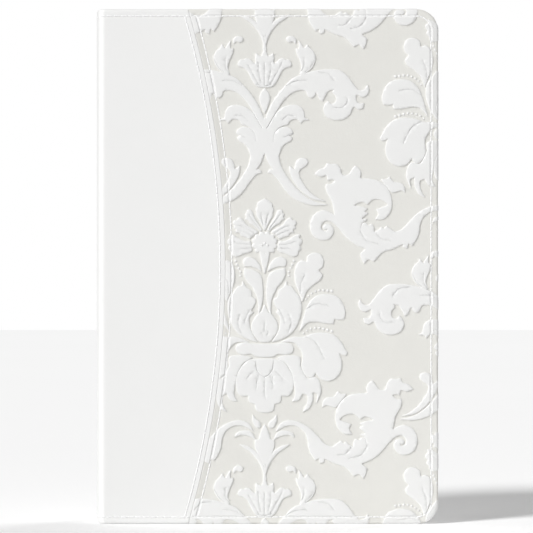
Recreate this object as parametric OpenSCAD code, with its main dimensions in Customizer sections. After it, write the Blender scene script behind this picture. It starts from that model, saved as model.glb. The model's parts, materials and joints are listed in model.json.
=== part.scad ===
// A thick sewn book in a flexible two-tone imitation-leather case, standing closed on its tail edge.
// +X runs from the spine to the fore edge, the front cover faces -Y, and +Z runs from tail to head.
// The origin is the centre of the closed book's footprint, on the surface that it stands on.

/* [Cover] */
// Width of the closed book, spine to fore edge
cover_w = 152.4; // [125:0.1:185]
// Height of the cover
cover_h = 228.6; // [190:0.1:275]
// Radius of the cover's two fore-edge corners
corner_r = 9.6; // [8:0.2:14]
// Thickness of the imitation leather
skin_t = 1.1; // [0.9:0.05:1.4]
// Height of the damask figures above the sunk ground
relief_h = 0.5; // [0.3:0.05:0.6]
// Thickness of the card stiffener inside each cover
board_t = 0.8; // [0.5:0.05:1.5]
// Thickness of the pared leather where it is turned in over the board
turn_in_t = 0.45; // [0.3:0.05:0.8]
// Width of the turn-ins
turn_in_w = 14; // [10:0.5:18]
// Thickness of the leather round the board's edge
rim_t = 0.6; // [0.4:0.05:1]
// How far the cover stands beyond the pages
square_w = 3.2; // [2.5:0.1:4.5]
// Distance from the outside of the spine to the line where a cover folds
joint_w = 7; // [6:0.5:10]

/* [Spine] */
// Radius of the rounded spine
spine_r = 80; // [60:1:140]
// Radius where the spine turns into a cover
shoulder_r = 3; // [2.7:0.1:4]
// Thickness of the cloth and card lining
lining_t = 0.6; // [0.4:0.05:1]
// Thickness of the spine glue
glue_t = 0.4; // [0.3:0.05:0.8]
// Rows of sewing thread along the spine
sewing_rows = 6; // [3:1:10]

/* [Book block] */
// Number of folded signatures, half on each side of the middle opening
signature_count = 24; // [16:2:28]
// Thickness of one signature
signature_t = 1.28; // [1:0.02:1.6]
// Thickness of the endpaper
endpaper_t = 0.2; // [0.15:0.01:0.4]
// Thickness of the ribbon marker
ribbon_t = 0.14; // [0.1:0.01:0.16]
// Width of the ribbon marker
ribbon_w = 6; // [3:0.5:10]
// Height of the headband and the tailband above the pages
band_h = 2.2; // [1.5:0.1:2.4]
// Depth of the headband and the tailband, spine to fore edge
band_d = 2.3; // [1.5:0.1:3]

/* [Seams and stitching] */
// Distance from the outside of the spine to the bulge of the curved seam
seam_x = 57.9; // [45:0.1:75]
// Radius of the curved seam
seam_r = 402; // [300:1:700]
// How far the damask panel runs on under the smooth one
seam_lap = 7; // [6.5:0.5:10]
// Distance from the seam back to the row of stitches on the smooth panel
inner_row = 2.3; // [1.5:0.1:4]
// Distance from the seam on to the row of stitches on the damask panel
outer_row = 2.9; // [1.5:0.1:4]
// Distance of the edge stitching from the cover's edge
stitch_inset = 3.1; // [2.5:0.1:5]
// Width of the sewing thread on the outside
thread_w = 0.5; // [0.3:0.05:0.8]
// Height of the sewing thread on the outside
thread_h = 0.4; // [0.25:0.05:0.45]

/* [Hidden] */
PAGE_GAP = 0.4;        // free space at the middle opening, where the ribbon lies
LEAF_GAP = 0.15;       // free space on each side of a flyleaf
FOLD_GAP = 0.1;        // free space beside a fold line, between a cover and the spine
GROOVE_SIDE = 0.15;    // free space beside the thread in its groove
THREAD_SINK = 0.05;    // how far the top of the thread lies below the leather
MULL_FLAP_W = 22;      // width of the cloth hinge glued inside each cover
PASTEDOWN_INSET = 3;   // distance of the pastedown from the cover's edge
SEWING_THREAD = 0.8;   // height of one row of sewing thread
ARC_STEPS = 10;        // flats on one rounded corner
SEAM_STEPS = 36;       // flats on the curved seam

half_count = signature_count / 2;
cover_t = skin_t + board_t + turn_in_t + endpaper_t;
pages_y = PAGE_GAP / 2 + half_count * signature_t;          // outermost page, from the middle
face_y = pages_y + 2 * LEAF_GAP + endpaper_t + cover_t;     // outside of a cover, from the middle
left_x = -cover_w / 2;
right_x = cover_w / 2;
fold_x = left_x + joint_w;
spine_centre = left_x + spine_r;
shoulder_y = face_y - shoulder_r;
shoulder_x = spine_centre - sqrt(pow(spine_r - shoulder_r, 2) - pow(shoulder_y, 2));
shoulder_a = 180 + asin(shoulder_y / (spine_r - shoulder_r));
pages_inset = skin_t + lining_t + glue_t;                   // from the spine's outside to the folds
page_z0 = square_w;
page_z1 = cover_h - square_w;
page_corner_r = corner_r - square_w;
fore_edge_x = right_x - square_w;                           // fore edge of the outermost pages
page_w = fore_edge_x - spine_arc_x(pages_inset, pages_y);
thread_sides = thread_w / 2 + GROOVE_SIDE;
thread_floor = THREAD_SINK + thread_h;                      // depth of the groove below the leather

SIGNATURES = [for (i = [1:signature_count]) str("signature_", i < 10 ? "0" : "", i)];

// ---- curves ----

function reversed(p) = [for (i = [len(p) - 1:-1:0]) p[i]];
function arc(c, r, a0, a1, steps = ARC_STEPS) =
    [for (i = [0:steps]) let (a = a0 + (a1 - a0) * i / steps) c + r * [cos(a), sin(a)]];

// Where the rounded spine lies at distance y from the middle, inset from its outside.
function spine_arc_x(inset, y) = spine_centre - sqrt(pow(spine_r - inset, 2) - y * y);

// The front half of the spine seen from above, from the middle out to depth y_end.
function spine_arc(inset, y_end) =
    let (r = spine_r - inset)
    arc([spine_centre, 0], r, 180 + asin(PAGE_GAP / 2 / r), 180 + asin(y_end / r));

// The same, carried on round the shoulder and along the cover's face to the fold line.
function spine_outline(inset) = concat(
    arc([spine_centre, 0], spine_r - inset, 180 + asin(PAGE_GAP / 2 / (spine_r - inset)), shoulder_a),
    arc([shoulder_x, -shoulder_y], shoulder_r - inset, shoulder_a, 270),
    [[fold_x - FOLD_GAP / 2, -face_y + inset]]);

// A cover's face, seen from the front, inset on its three free sides.
function cover_outline(inset, x0 = fold_x + FOLD_GAP / 2) =
    let (r = max(corner_r - inset, 0.5), x1 = right_x - inset, z0 = inset, z1 = cover_h - inset)
    concat([[x0, z0]], arc([x1 - r, z0 + r], r, -90, 0), arc([x1 - r, z1 - r], r, 0, 90), [[x0, z1]]);

// The curved seam, from below the tail to above the head, moved across by shift.
function seam_at(z) = left_x + seam_x - seam_r + sqrt(seam_r * seam_r - pow(z - cover_h / 2, 2));
function seam_line(shift) =
    let (from = -1, to = cover_h + 1)
    [for (i = [0:SEAM_STEPS]) let (z = from + (to - from) * i / SEAM_STEPS) [seam_at(z) + shift, z]];

// ---- shared shapes ----

// Extrudes a shape drawn in X and Z between two depths below the front cover's face.
module layer(from, to) {
    translate([0, -face_y + to, 0]) rotate([90, 0, 0]) linear_extrude(to - from) children();
}

module cover_shape(inset) polygon(cover_outline(inset));

// A frame-shaped strip of the cover's face between two insets, open at the fold.
module edge_strip(from, to) difference() {
    polygon(cover_outline(from));
    polygon(cover_outline(to, fold_x - 1));
}

// Everything on the spine side of the seam, moved across by shift.
module spine_side_of_seam(shift = 0)
    polygon(concat([[left_x - 5, cover_h + 1], [left_x - 5, -1]], seam_line(shift)));

// A strip that follows the seam between two shifts.
module seam_strip(from, to) polygon(concat(seam_line(from), reversed(seam_line(to))));

// A strip that follows the spine between two insets, drawn from above.
module spine_strip(from, to) polygon(concat(spine_outline(from), reversed(spine_outline(to))));
module spine_band(from, to, y_end)
    polygon(concat(spine_arc(from, y_end), reversed(spine_arc(to, y_end))));

module between(z0, z1) translate([0, 0, z0]) linear_extrude(z1 - z0) children();
module front() children();
module back() mirror([0, 1, 0]) children();

// ---- cover ----

// Leather round the board's edge and turned in behind it, without the face.
module turned_edge() {
    layer(skin_t, skin_t + board_t) edge_strip(0, rim_t);
    layer(skin_t + board_t, skin_t + board_t + turn_in_t) edge_strip(0, turn_in_w);
}

// Smooth white leather from the fold to the curved seam, pared thin where it laps the damask panel.
module smooth_panel() color("white") difference() {
    intersection() {
        union() {
            layer(0, skin_t) cover_shape(0);
            turned_edge();
        }
        layer(-1, cover_t + 1) spine_side_of_seam();
    }
    layer(relief_h + THREAD_SINK, skin_t) seam_strip(-seam_lap, 1);
    layer(-1, thread_floor) edge_strip(stitch_inset - thread_sides, stitch_inset + thread_sides);
    layer(-1, thread_floor) seam_strip(-inner_row - thread_sides, -inner_row + thread_sides);
}

// Damask leather from under the seam to the fore edge, drawn at the level of its sunk ground.
module damask_panel() color("lightgray") difference() {
    union() {
        difference() {
            union() {
                layer(relief_h, skin_t) cover_shape(0);
                turned_edge();
            }
            layer(-1, cover_t + 1) spine_side_of_seam();
        }
        layer(relief_h + THREAD_SINK, skin_t) intersection() {
            cover_shape(0);
            seam_strip(-seam_lap, 0.01);
        }
    }
    layer(-1, relief_h + thread_floor / 2) difference() {
        edge_strip(stitch_inset - thread_sides, stitch_inset + thread_sides);
        spine_side_of_seam();
    }
    layer(-1, relief_h + thread_floor / 2) seam_strip(outer_row - thread_sides, outer_row + thread_sides);
}

module board() color("tan") layer(skin_t, skin_t + board_t) cover_shape(rim_t);

// Card that levels the inside of the cover between the turn-ins and the cloth hinge.
module infill() color("wheat") layer(skin_t + board_t, skin_t + board_t + turn_in_t)
    polygon(cover_outline(turn_in_w, fold_x + MULL_FLAP_W));

module mull_flap() color("ivory") layer(skin_t + board_t, skin_t + board_t + turn_in_t)
    translate([fold_x + FOLD_GAP / 2, turn_in_w])
        square([MULL_FLAP_W - FOLD_GAP / 2, cover_h - 2 * turn_in_w]);

module pastedown() color("ivory") layer(cover_t - endpaper_t, cover_t) cover_shape(PASTEDOWN_INSET);

// One run of thread round the three free sides, a step lower where it crosses the damask ground.
module edge_thread() color("snow") {
    low = relief_h + thread_floor / 2;
    layer(THREAD_SINK, thread_floor) intersection() {
        edge_strip(stitch_inset - thread_w / 2, stitch_inset + thread_w / 2);
        spine_side_of_seam();
    }
    layer(low - thread_h, low) difference() {
        edge_strip(stitch_inset - thread_w / 2, stitch_inset + thread_w / 2);
        spine_side_of_seam();
    }
}

// The two rows of thread beside the curved seam, stopping short of the edge stitching.
module seam_threads() color("snow") {
    low = relief_h + thread_floor / 2;
    ends = stitch_inset + thread_sides;
    layer(THREAD_SINK, thread_floor) intersection() {
        cover_shape(ends);
        seam_strip(-inner_row - thread_w / 2, -inner_row + thread_w / 2);
    }
    layer(low - thread_h, low) intersection() {
        cover_shape(ends);
        seam_strip(outer_row - thread_w / 2, outer_row + thread_w / 2);
    }
}

// ---- endpapers and pages ----

// A leaf's face with its two rounded fore-edge corners, drawn in X and Z.
module leaf_shape(x0) {
    r = page_corner_r;
    polygon(concat(
        [[x0, page_z0]],
        arc([fore_edge_x - r, page_z0 + r], r, -90, 0),
        arc([fore_edge_x - r, page_z1 - r], r, 0, 90),
        [[x0, page_z1]]));
}

module flyleaf() color("ivory")
    layer(cover_t + LEAF_GAP, cover_t + LEAF_GAP + endpaper_t) leaf_shape(fold_x + FOLD_GAP / 2);

// A folded section of thin sheets. Its fold follows the rounded spine and its fore edge the same curve.
module signature_at(y0, y1) {
    y = (y0 + y1) / 2;
    r = (y1 - y0) / 2;
    fold = spine_arc_x(pages_inset, max(abs(y0), abs(y1)));
    color("gainsboro") intersection() {
        between(page_z0, page_z1) polygon(concat(
            arc([fold + r, y], r, 270, 90),
            [for (k = [1:-0.5:0]) let (at = y0 + (y1 - y0) * k) [spine_arc_x(pages_inset, at) + page_w, at]]));
        layer(-1, 2 * face_y) leaf_shape(left_x);
    }
}

// Signature 1 lies under the front cover and the last one over the back cover.
module signature(i) {
    from_middle = i - 1 - half_count;
    side = i <= half_count ? -PAGE_GAP / 2 : PAGE_GAP / 2;
    signature_at(side + from_middle * signature_t, side + (from_middle + 1) * signature_t);
}

// ---- spine ----

// The smooth leather where it passes round the spine, with its turned-in ends at head and tail.
module spine_skin() color("white") difference() {
    union() {
        between(0, cover_h) spine_strip(0, skin_t);
        for (z = [0, cover_h - rim_t]) between(z, z + rim_t) {
            spine_band(skin_t, skin_t + lining_t, shoulder_y);
            spine_flange();
        }
    }
    for (z = [stitch_inset, cover_h - stitch_inset])
        between(z - thread_sides, z + thread_sides) spine_strip(-0.5, thread_floor);
}

// The stretch behind the leather between the shoulder and the fold, as thick as the rest of a cover.
module spine_flange() translate([shoulder_x, -face_y + skin_t])
    square([fold_x - FOLD_GAP / 2 - shoulder_x, cover_t - skin_t]);

module spine_lining() color("tan") between(rim_t, cover_h - rim_t) {
    spine_band(skin_t, skin_t + lining_t, shoulder_y);
    spine_flange();
}

module spine_thread() color("snow") for (z = [stitch_inset, cover_h - stitch_inset])
    between(z - thread_w / 2, z + thread_w / 2) spine_strip(THREAD_SINK, thread_floor);

function sewing_z(k) = page_z0 + (page_z1 - page_z0) * (k + 0.5) / sewing_rows;

module spine_glue() color("khaki") difference() {
    between(page_z0, page_z1) spine_band(pages_inset - glue_t, pages_inset, pages_y);
    for (k = [0:sewing_rows - 1]) between(sewing_z(k) - SEWING_THREAD / 2, sewing_z(k) + SEWING_THREAD / 2)
        spine_band(pages_inset - glue_t / 2, pages_inset + 1, pages_y + 0.01);
}

module sewing_thread() color("linen") for (k = [0:sewing_rows - 1])
    between(sewing_z(k) - SEWING_THREAD / 2, sewing_z(k) + SEWING_THREAD / 2)
        spine_band(pages_inset - glue_t / 2, pages_inset, pages_y);

// A rolled cloth band on the pages' end, narrower at the top. Mirrored for the tail.
module end_band() color("whitesmoke") {
    inset = pages_inset - glue_t + THREAD_SINK;
    step = band_d / 4;
    between(page_z1, page_z1 + band_h * 0.7) spine_band(inset, inset + band_d, pages_y);
    between(page_z1 + band_h * 0.7, page_z1 + band_h) spine_band(inset + step, inset + band_d - step, pages_y);
}
module at_tail() translate([0, 0, cover_h]) mirror([0, 0, 1]) children();

// Satin ribbon, fixed at the head of the spine, laid between the pages and folded back above the tail.
module ribbon_marker() color("white") {
    top = [left_x + pages_inset + 1.5, page_z1 + 1.2];
    turn = [left_x + page_w * 0.66, page_z0 + 12];
    end = [left_x + page_w * 0.82, page_z0 + page_z1 * 0.34];
    across = [ribbon_w, 0];
    y = PAGE_GAP / 2;
    translate([0, y, 0]) rotate([90, 0, 0]) linear_extrude(ribbon_t)
        polygon([turn, turn + across, top + across, top]);
    translate([0, y - ribbon_t, 0]) rotate([90, 0, 0]) linear_extrude(ribbon_t)
        polygon([turn, turn + across, end + across, end + [ribbon_w / 2, -ribbon_w / 2], end]);
}

// ---- nodes ----

front() smooth_panel();  // front_smooth_panel
front() damask_panel();  // front_damask_panel
front() board();  // front_board
front() infill();  // front_infill
front() mull_flap();  // front_mull_flap
front() pastedown();  // front_pastedown
front() edge_thread();  // front_edge_thread
front() seam_threads();  // front_seam_threads
front() flyleaf();  // front_flyleaf
back() smooth_panel();  // back_smooth_panel
back() damask_panel();  // back_damask_panel
back() board();  // back_board
back() infill();  // back_infill
back() mull_flap();  // back_mull_flap
back() pastedown();  // back_pastedown
back() edge_thread();  // back_edge_thread
back() seam_threads();  // back_seam_threads
back() flyleaf();  // back_flyleaf
front() spine_skin();  // spine_skin_front_half
back() spine_skin();  // spine_skin_back_half
front() spine_thread();  // spine_thread_front_half
back() spine_thread();  // spine_thread_back_half
front() spine_lining();  // spine_lining_front_half
back() spine_lining();  // spine_lining_back_half
front() spine_glue();  // spine_glue_front_half
back() spine_glue();  // spine_glue_back_half
front() sewing_thread();  // sewing_thread_front_half
back() sewing_thread();  // sewing_thread_back_half
front() end_band();  // headband_front_half
back() end_band();  // headband_back_half
front() at_tail() end_band();  // tailband_front_half
back() at_tail() end_band();  // tailband_back_half
ribbon_marker();
for (i = [1:signature_count]) signature(i);
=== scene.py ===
"""A thick sewn book in a flexible two-tone imitation-leather case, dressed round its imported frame."""
import json
import math
import random

import bpy
import numpy as np
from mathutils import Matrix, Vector, geometry

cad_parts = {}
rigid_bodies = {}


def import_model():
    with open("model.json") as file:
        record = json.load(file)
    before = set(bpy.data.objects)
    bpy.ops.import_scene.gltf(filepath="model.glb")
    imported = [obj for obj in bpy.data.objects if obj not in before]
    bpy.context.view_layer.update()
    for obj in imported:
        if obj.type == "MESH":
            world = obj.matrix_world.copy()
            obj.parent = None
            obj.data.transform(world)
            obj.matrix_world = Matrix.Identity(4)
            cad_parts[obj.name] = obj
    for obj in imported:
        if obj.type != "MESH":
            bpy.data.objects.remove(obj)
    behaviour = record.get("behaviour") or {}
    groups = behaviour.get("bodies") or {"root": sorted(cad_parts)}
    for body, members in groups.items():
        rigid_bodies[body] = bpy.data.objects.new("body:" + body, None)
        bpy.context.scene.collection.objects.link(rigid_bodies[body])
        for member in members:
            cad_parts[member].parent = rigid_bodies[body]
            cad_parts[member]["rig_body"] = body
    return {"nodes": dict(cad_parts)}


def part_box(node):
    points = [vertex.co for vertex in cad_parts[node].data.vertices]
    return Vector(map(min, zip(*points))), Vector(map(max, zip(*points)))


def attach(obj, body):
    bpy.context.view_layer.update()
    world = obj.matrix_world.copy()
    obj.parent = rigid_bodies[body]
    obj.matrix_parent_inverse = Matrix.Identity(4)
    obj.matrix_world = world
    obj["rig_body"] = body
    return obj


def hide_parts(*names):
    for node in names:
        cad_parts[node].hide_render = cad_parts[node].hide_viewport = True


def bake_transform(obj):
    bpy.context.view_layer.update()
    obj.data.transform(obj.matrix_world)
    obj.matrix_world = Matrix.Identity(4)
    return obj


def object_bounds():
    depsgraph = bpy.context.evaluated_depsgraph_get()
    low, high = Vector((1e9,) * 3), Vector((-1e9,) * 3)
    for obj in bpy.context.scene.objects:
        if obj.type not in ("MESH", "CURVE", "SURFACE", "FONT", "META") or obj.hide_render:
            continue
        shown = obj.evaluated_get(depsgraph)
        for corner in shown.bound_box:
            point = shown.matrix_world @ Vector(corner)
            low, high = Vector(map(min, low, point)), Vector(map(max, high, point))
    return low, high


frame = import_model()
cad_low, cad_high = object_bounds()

bl_info = {
    "name": "Leather Bound Book",
    "version": (1, 0, 0),
    "blender": (4, 5, 0),
    "location": "View3D > Sidebar > Book",
    "description": "Builds the leather, stitching, pages and stage of a bound book round its frame",
    "category": "Object",
}

MM = 0.001  # one millimetre, in metres


# ---- places taken from the frame, in millimetres ----

def node_box(name):
    """The lowest and highest corner of a frame node."""
    low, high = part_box(name)
    return np.array(low) / MM, np.array(high) / MM


LEFT, RIGHT = cad_low.x / MM, cad_high.x / MM
HEIGHT = cad_high.z / MM
FACE = cad_high.y / MM  # outer face of a cover, from the middle
SMOOTH_LOW, SMOOTH_HIGH = node_box("front_smooth_panel")
FOLD_S = round(SMOOTH_LOW[0] - LEFT, 1)  # from the spine's outside to the fold
SEAM_S = round(SMOOTH_HIGH[0] - LEFT, 2)  # to the bulge of the seam
COVER_DEPTH = FACE + SMOOTH_HIGH[1]  # thickness of leather, board and turn-in
PAGES_LOW, PAGES_HIGH = node_box("signature_01")
GROUND_DEPTH = FACE + node_box("front_damask_panel")[0][1]  # sunk ground of the damask, below the face
RINGS_ON_ROLL = 7  # rows of faces where leather turns an edge
TIP = True  # marks a sharp point of an outline


def linear(hex_colour):
    """Turns an sRGB hex colour to the linear RGBA that Blender uses."""
    parts = [int(hex_colour[i:i + 2], 16) / 255 for i in (1, 3, 5)]
    turned = [c / 12.92 if c <= 0.04045 else ((c + 0.055) / 1.055) ** 2.4 for c in parts]
    return (*turned, 1.0)


def colour_property(name, description, hex_colour):
    """A colour that the user may change."""
    return bpy.props.FloatVectorProperty(
        name=name, description=description, subtype="COLOR", size=4, min=0, max=1, default=linear(hex_colour))


def length_property(name, description, millimetres):
    """A length that the user may change."""
    return bpy.props.FloatProperty(name=name, description=description, default=millimetres * MM, min=0,
                                   subtype="DISTANCE", unit="LENGTH")


class BOOK_PG_case(bpy.types.PropertyGroup):
    """Sizes of the leather case."""
    corner: length_property("Corner", "Radius of the cover's two fore-edge corners", 9.6)
    seam_radius: length_property("Seam radius", "Radius of the curved seam", 402)
    spine_radius: length_property("Spine radius", "Radius of the rounded spine", 80)
    shoulder: length_property("Shoulder", "Radius where the spine turns into a cover", 3)
    turn_in: length_property("Turn-in", "Width of the leather that is turned in behind an edge", 7.5)
    relief: length_property("Relief", "Height of the damask figures above the sunk ground", 0.54)
    vein: length_property("Vein depth", "Depth of the lines engraved in the figures", 0.42)
    column: length_property("Column axis", "Distance from the spine to the damask's first mirror axis", 75.4)
    column_pitch: length_property("Column pitch", "Distance between the damask's mirror axes", 87.9)
    repeat: length_property("Repeat", "Height of the damask's repeat", 190.6)
    repeat_top: length_property("Repeat start", "Height above the tail where the damask's repeat starts", 215)


class BOOK_PG_stitching(bpy.types.PropertyGroup):
    """Sizes of the stitching."""
    inset: length_property("Edge inset", "Distance of the edge stitching from the cover's edge", 3.1)
    inner_row: length_property("Inner row", "Distance from the seam back to the smooth panel's stitches", 2.3)
    outer_row: length_property("Outer row", "Distance from the seam on to the damask panel's stitches", 2.9)
    pitch: length_property("Pitch", "Distance from one stitch to the next", 3.2)
    length: length_property("Stitch", "Length of one stitch on top of the leather", 3.06)
    thread: length_property("Thread", "Width of the thread", 0.62)
    groove: length_property("Groove", "How deep the stitches pull into the leather", 0.05)
    groove_width: length_property("Groove width", "Width of the furrow along a row of stitches", 1.3)


class BOOK_PG_colours(bpy.types.PropertyGroup):
    """Colours of the book."""
    smooth: colour_property("Smooth leather", "Smooth panels and spine", "#F2F2F1")
    figure: colour_property("Damask figures", "Raised, polished figures", "#EEEEED")
    ground: colour_property("Damask ground", "Sunk, grained ground", "#E7E6E1")
    thread: colour_property("Stitching", "Thread of the visible stitches", "#FEFEFE")
    paper: colour_property("Page paper", "Thin paper of the pages", "#F4F1E8")
    endpaper: colour_property("Endpaper", "Pastedowns and flyleaves", "#F1EEE6")
    gilt: colour_property("Page edges", "Silver on the edges of the pages", "#ECECED")
    ribbon: colour_property("Ribbon", "Satin ribbon and headbands", "#F3F2EF")


# ---- curves ----

def smooth_curve(points, closed=True, step=0.5):
    """A smooth curve through given points, straight into each point marked as a tip."""
    flat = np.array([p[:2] for p in points], float)
    tip = [len(p) > 2 for p in points]
    count = len(points)
    curve = []
    for i in range(count if closed else count - 1):
        j = (i + 1) % count
        here, there = flat[i], flat[j]
        chord = there - here
        length = np.hypot(*chord)
        ends_here = tip[i] or (not closed and i == 0)
        ends_there = tip[j] or (not closed and j == count - 1)
        before = here - 0.3 * chord if ends_here else flat[i - 1]
        after = there + 0.3 * chord if ends_there else flat[(i + 2) % count]
        start = (there - before) * length / (length + np.hypot(*(here - before)) + 1e-9)
        end = (after - here) * length / (length + np.hypot(*(after - there)) + 1e-9)
        for t in np.arange(max(2, round(length / step))) / max(2, round(length / step)):
            curve.append((2 * t**3 - 3 * t**2 + 1) * here + (t**3 - 2 * t**2 + t) * start
                         + (3 * t**2 - 2 * t**3) * there + (t**3 - t**2) * end)
    if not closed:
        curve.append(flat[-1])
    return np.array(curve)


def side_normals(curve, closed=True):
    """Unit normals of a curve, pointing out of a closed one."""
    if closed:
        along = np.roll(curve, -1, 0) - np.roll(curve, 1, 0)
    else:
        along = np.gradient(curve, axis=0)
    normal = np.stack([along[:, 1], -along[:, 0]], 1)
    normal /= np.linalg.norm(normal, axis=1)[:, None] + 1e-9
    if closed:
        turned = np.roll(curve, -1, 0)
        area = np.sum(curve[:, 0] * turned[:, 1] - turned[:, 0] * curve[:, 1])
        normal *= np.sign(area)
    return normal


def distance_to(points, curve, closed):
    """Distance of each point from a curve, and whether a closed curve holds it."""
    start = curve if closed else curve[:-1]
    end = np.roll(curve, -1, 0) if closed else curve[1:]
    along = end - start
    square = np.sum(along**2, 1) + 1e-12
    away = points[:, None] - start[None]
    share = np.clip(np.sum(away * along[None], 2) / square, 0, 1)
    near = np.sqrt(np.min(np.sum((away - share[..., None] * along[None])**2, 2), 1))
    if not closed:
        return near, np.zeros(len(points), bool)
    above = start[None, :, 1] > points[:, None, 1]
    crosses = above != (end[None, :, 1] > points[:, None, 1])
    rise = np.where(np.abs(along[:, 1]) < 1e-12, 1e-12, along[:, 1])
    x = start[None, :, 0] + (points[:, None, 1] - start[None, :, 1]) * along[None, :, 0] / rise[None]
    return near, np.sum(crosses & (points[:, None, 0] < x), 1) % 2 == 1


def ease(share):
    """A smooth step from 0 to 1."""
    share = np.clip(share, 0, 1)
    return share * share * (3 - 2 * share)


# ---- the case's shape ----

class Case:
    """The leather case's outer surface. A place on it is s, along the leather from the spine's outside
    towards the fore edge, and z, above the tail. Its middle is the middle of the spine. All lengths are
    in millimetres."""

    def __init__(self, sizes, stitching):
        self.corner = sizes.corner / MM
        self.seam_radius = sizes.seam_radius / MM
        self.turn_in = sizes.turn_in / MM
        self.spine_radius = sizes.spine_radius / MM
        self.shoulder = sizes.shoulder / MM
        inner = self.spine_radius - self.shoulder
        self.shoulder_y = FACE - self.shoulder
        self.spine_centre = LEFT + self.spine_radius
        self.shoulder_x = self.spine_centre - math.sqrt(inner**2 - self.shoulder_y**2)
        self.shoulder_angle = math.pi + math.asin(self.shoulder_y / inner)
        self.flat_from = self.shoulder_x - LEFT
        self.shoulder_run = self.shoulder * (1.5 * math.pi - self.shoulder_angle)
        self.middle = self.flat_from - self.shoulder_run - self.spine_radius * (self.shoulder_angle - math.pi)
        self.width = RIGHT - LEFT
        self.stitching = stitching

    def seam(self, z):
        """Where the curved seam lies at height z."""
        r = self.seam_radius
        return SEAM_S - r + np.sqrt(r * r - (z - HEIGHT / 2)**2)

    def beyond(self, s, z, inset):
        """How far a place lies outside the cover's outline drawn in by inset, and which way is out."""
        r = self.corner - inset
        across = s - (self.width - inset - r)
        along = np.abs(z - HEIGHT / 2) - (HEIGHT / 2 - inset - r)
        at_corner = (across > 0) & (along > 0)
        reach = np.hypot(across, along) + 1e-12
        out = np.where(at_corner, reach, np.maximum(across, along)) - r
        out_s = np.where(at_corner, across / reach, (across >= along) * 1.0)
        out_z = np.where(at_corner, along / reach, (across < along) * 1.0) * np.sign(z - HEIGHT / 2)
        return out, out_s, out_z

    def outline(self, inset, s_from=None, step=0.6):
        """The cover's outline drawn in by inset, from the seam at the tail round to the seam at the head."""
        r = self.corner - inset
        right, head = self.width - inset, HEIGHT - inset
        start = self.seam(inset) - 1 if s_from is None else s_from
        turn = max(4, round(r * math.pi / 2 / step))
        angles = np.linspace(-math.pi / 2, 0, turn + 1)
        lower = np.stack([right - r + r * np.cos(angles), inset + r + r * np.sin(angles)], 1)
        upper = lower[::-1] * [1, -1] + [0, HEIGHT]

        def line(a, b):
            count = max(1, round(math.dist(a, b) / (3 * step)))
            return np.array([np.array(a) + (np.array(b) - a) * i / count for i in range(count)])

        return np.vstack([line((start, inset), lower[0]), lower, line(lower[-1], upper[0])[1:], upper,
                          line(upper[-1], (start, head))[1:], [(start, head)]])

    def path(self, s):
        """Point and outward normal of the case in plan, at a place s along the leather."""
        back = s < self.middle
        s = np.where(back, 2 * self.middle - s, s)
        flat = s >= self.flat_from
        on_shoulder = ~flat & (s >= self.flat_from - self.shoulder_run)
        turn = 1.5 * math.pi - (self.flat_from - s) / self.shoulder
        sweep = self.shoulder_angle - (self.flat_from - self.shoulder_run - s) / self.spine_radius
        angle = np.where(flat, 1.5 * math.pi, np.where(on_shoulder, turn, sweep))
        radius = np.where(on_shoulder, self.shoulder, self.spine_radius)
        x = np.where(flat, LEFT + s, np.where(on_shoulder, self.shoulder_x, self.spine_centre)
                     + radius * np.cos(angle))
        y = np.where(flat, -FACE, np.where(on_shoulder, -self.shoulder_y, 0) + radius * np.sin(angle))
        flip = np.where(back, -1.0, 1.0)
        return np.stack([x, y * flip], 1), np.stack([np.cos(angle), np.sin(angle) * flip], 1)

    def wrap(self, flat, lift, depth, roll):
        """Places a sheet that was laid flat: over the cover's edges in a roll, and in behind them."""
        s, z = flat[:, 0], flat[:, 1]
        out, out_s, out_z = self.beyond(s, z, roll)
        beyond = np.maximum(out, 0)
        turn = np.clip(beyond / roll, 0, math.pi)
        tucked = np.maximum(beyond - math.pi * roll, 0)
        reach = (roll + lift) * np.sin(turn) - tucked
        below = roll - (roll + lift) * np.cos(turn)
        moved_s = s + out_s * (reach - beyond)
        moved_z = z + out_z * (reach - beyond)
        point, normal = self.path(moved_s)
        sunk = (depth + below)[:, None]
        return np.column_stack([point - normal * sunk, moved_z])


def stitch_rows(case):
    """The rows of stitching on the front: the edge row and the two rows along the seam."""
    inset = case.stitching.inset / MM
    edge = case.outline(inset, case.middle, 0.5)
    z = np.linspace(inset, HEIGHT - inset, 200)
    inner = np.stack([case.seam(z) - case.stitching.inner_row / MM, z], 1)
    outer = np.stack([case.seam(z) + case.stitching.outer_row / MM, z], 1)
    return edge, inner, outer


def furrow(case, places):
    """How far the rows of stitches pull the leather down at each place."""
    inset = case.stitching.inset / MM
    half = case.stitching.groove_width / MM / 2
    edge = np.abs(case.beyond(places[:, 0], places[:, 1], 0)[0] + inset)
    seam = places[:, 0] - case.seam(np.clip(places[:, 1], 0, HEIGHT))
    # The rows along the seam end at the edge row.
    inside = case.beyond(places[:, 0], places[:, 1], inset)[0] < 0.3
    inner = np.where(inside, np.abs(seam + case.stitching.inner_row / MM), np.inf)
    outer = np.where(inside, np.abs(seam - case.stitching.outer_row / MM), np.inf)
    near = np.minimum.reduce([edge, inner, outer])
    return case.stitching.groove / MM * (1 - ease(near / half))


# ---- meshes ----

def new_piece(name, points, faces, smooth=True):
    """A mesh object from points in millimetres."""
    mesh = bpy.data.meshes.new(name)
    mesh.from_pydata((np.asarray(points) * MM).tolist(), [], [list(map(int, f)) for f in faces])
    mesh.validate()
    piece = bpy.data.objects.new(name, mesh)
    bpy.context.scene.collection.objects.link(piece)
    if smooth:
        mesh.shade_smooth()
    return piece


def finish_piece(piece, material, slot, *nodes, body=None, blend=None):
    """Gives a piece its material and hides the nodes that it stands for. It rides its body, or with blend it
    is fixed where it lies and rides no body.
    """
    piece.data.materials.append(material)
    if nodes:
        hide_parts(*nodes)
    if blend:
        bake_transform(piece)
    else:
        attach(piece, body)
    return piece


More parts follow.
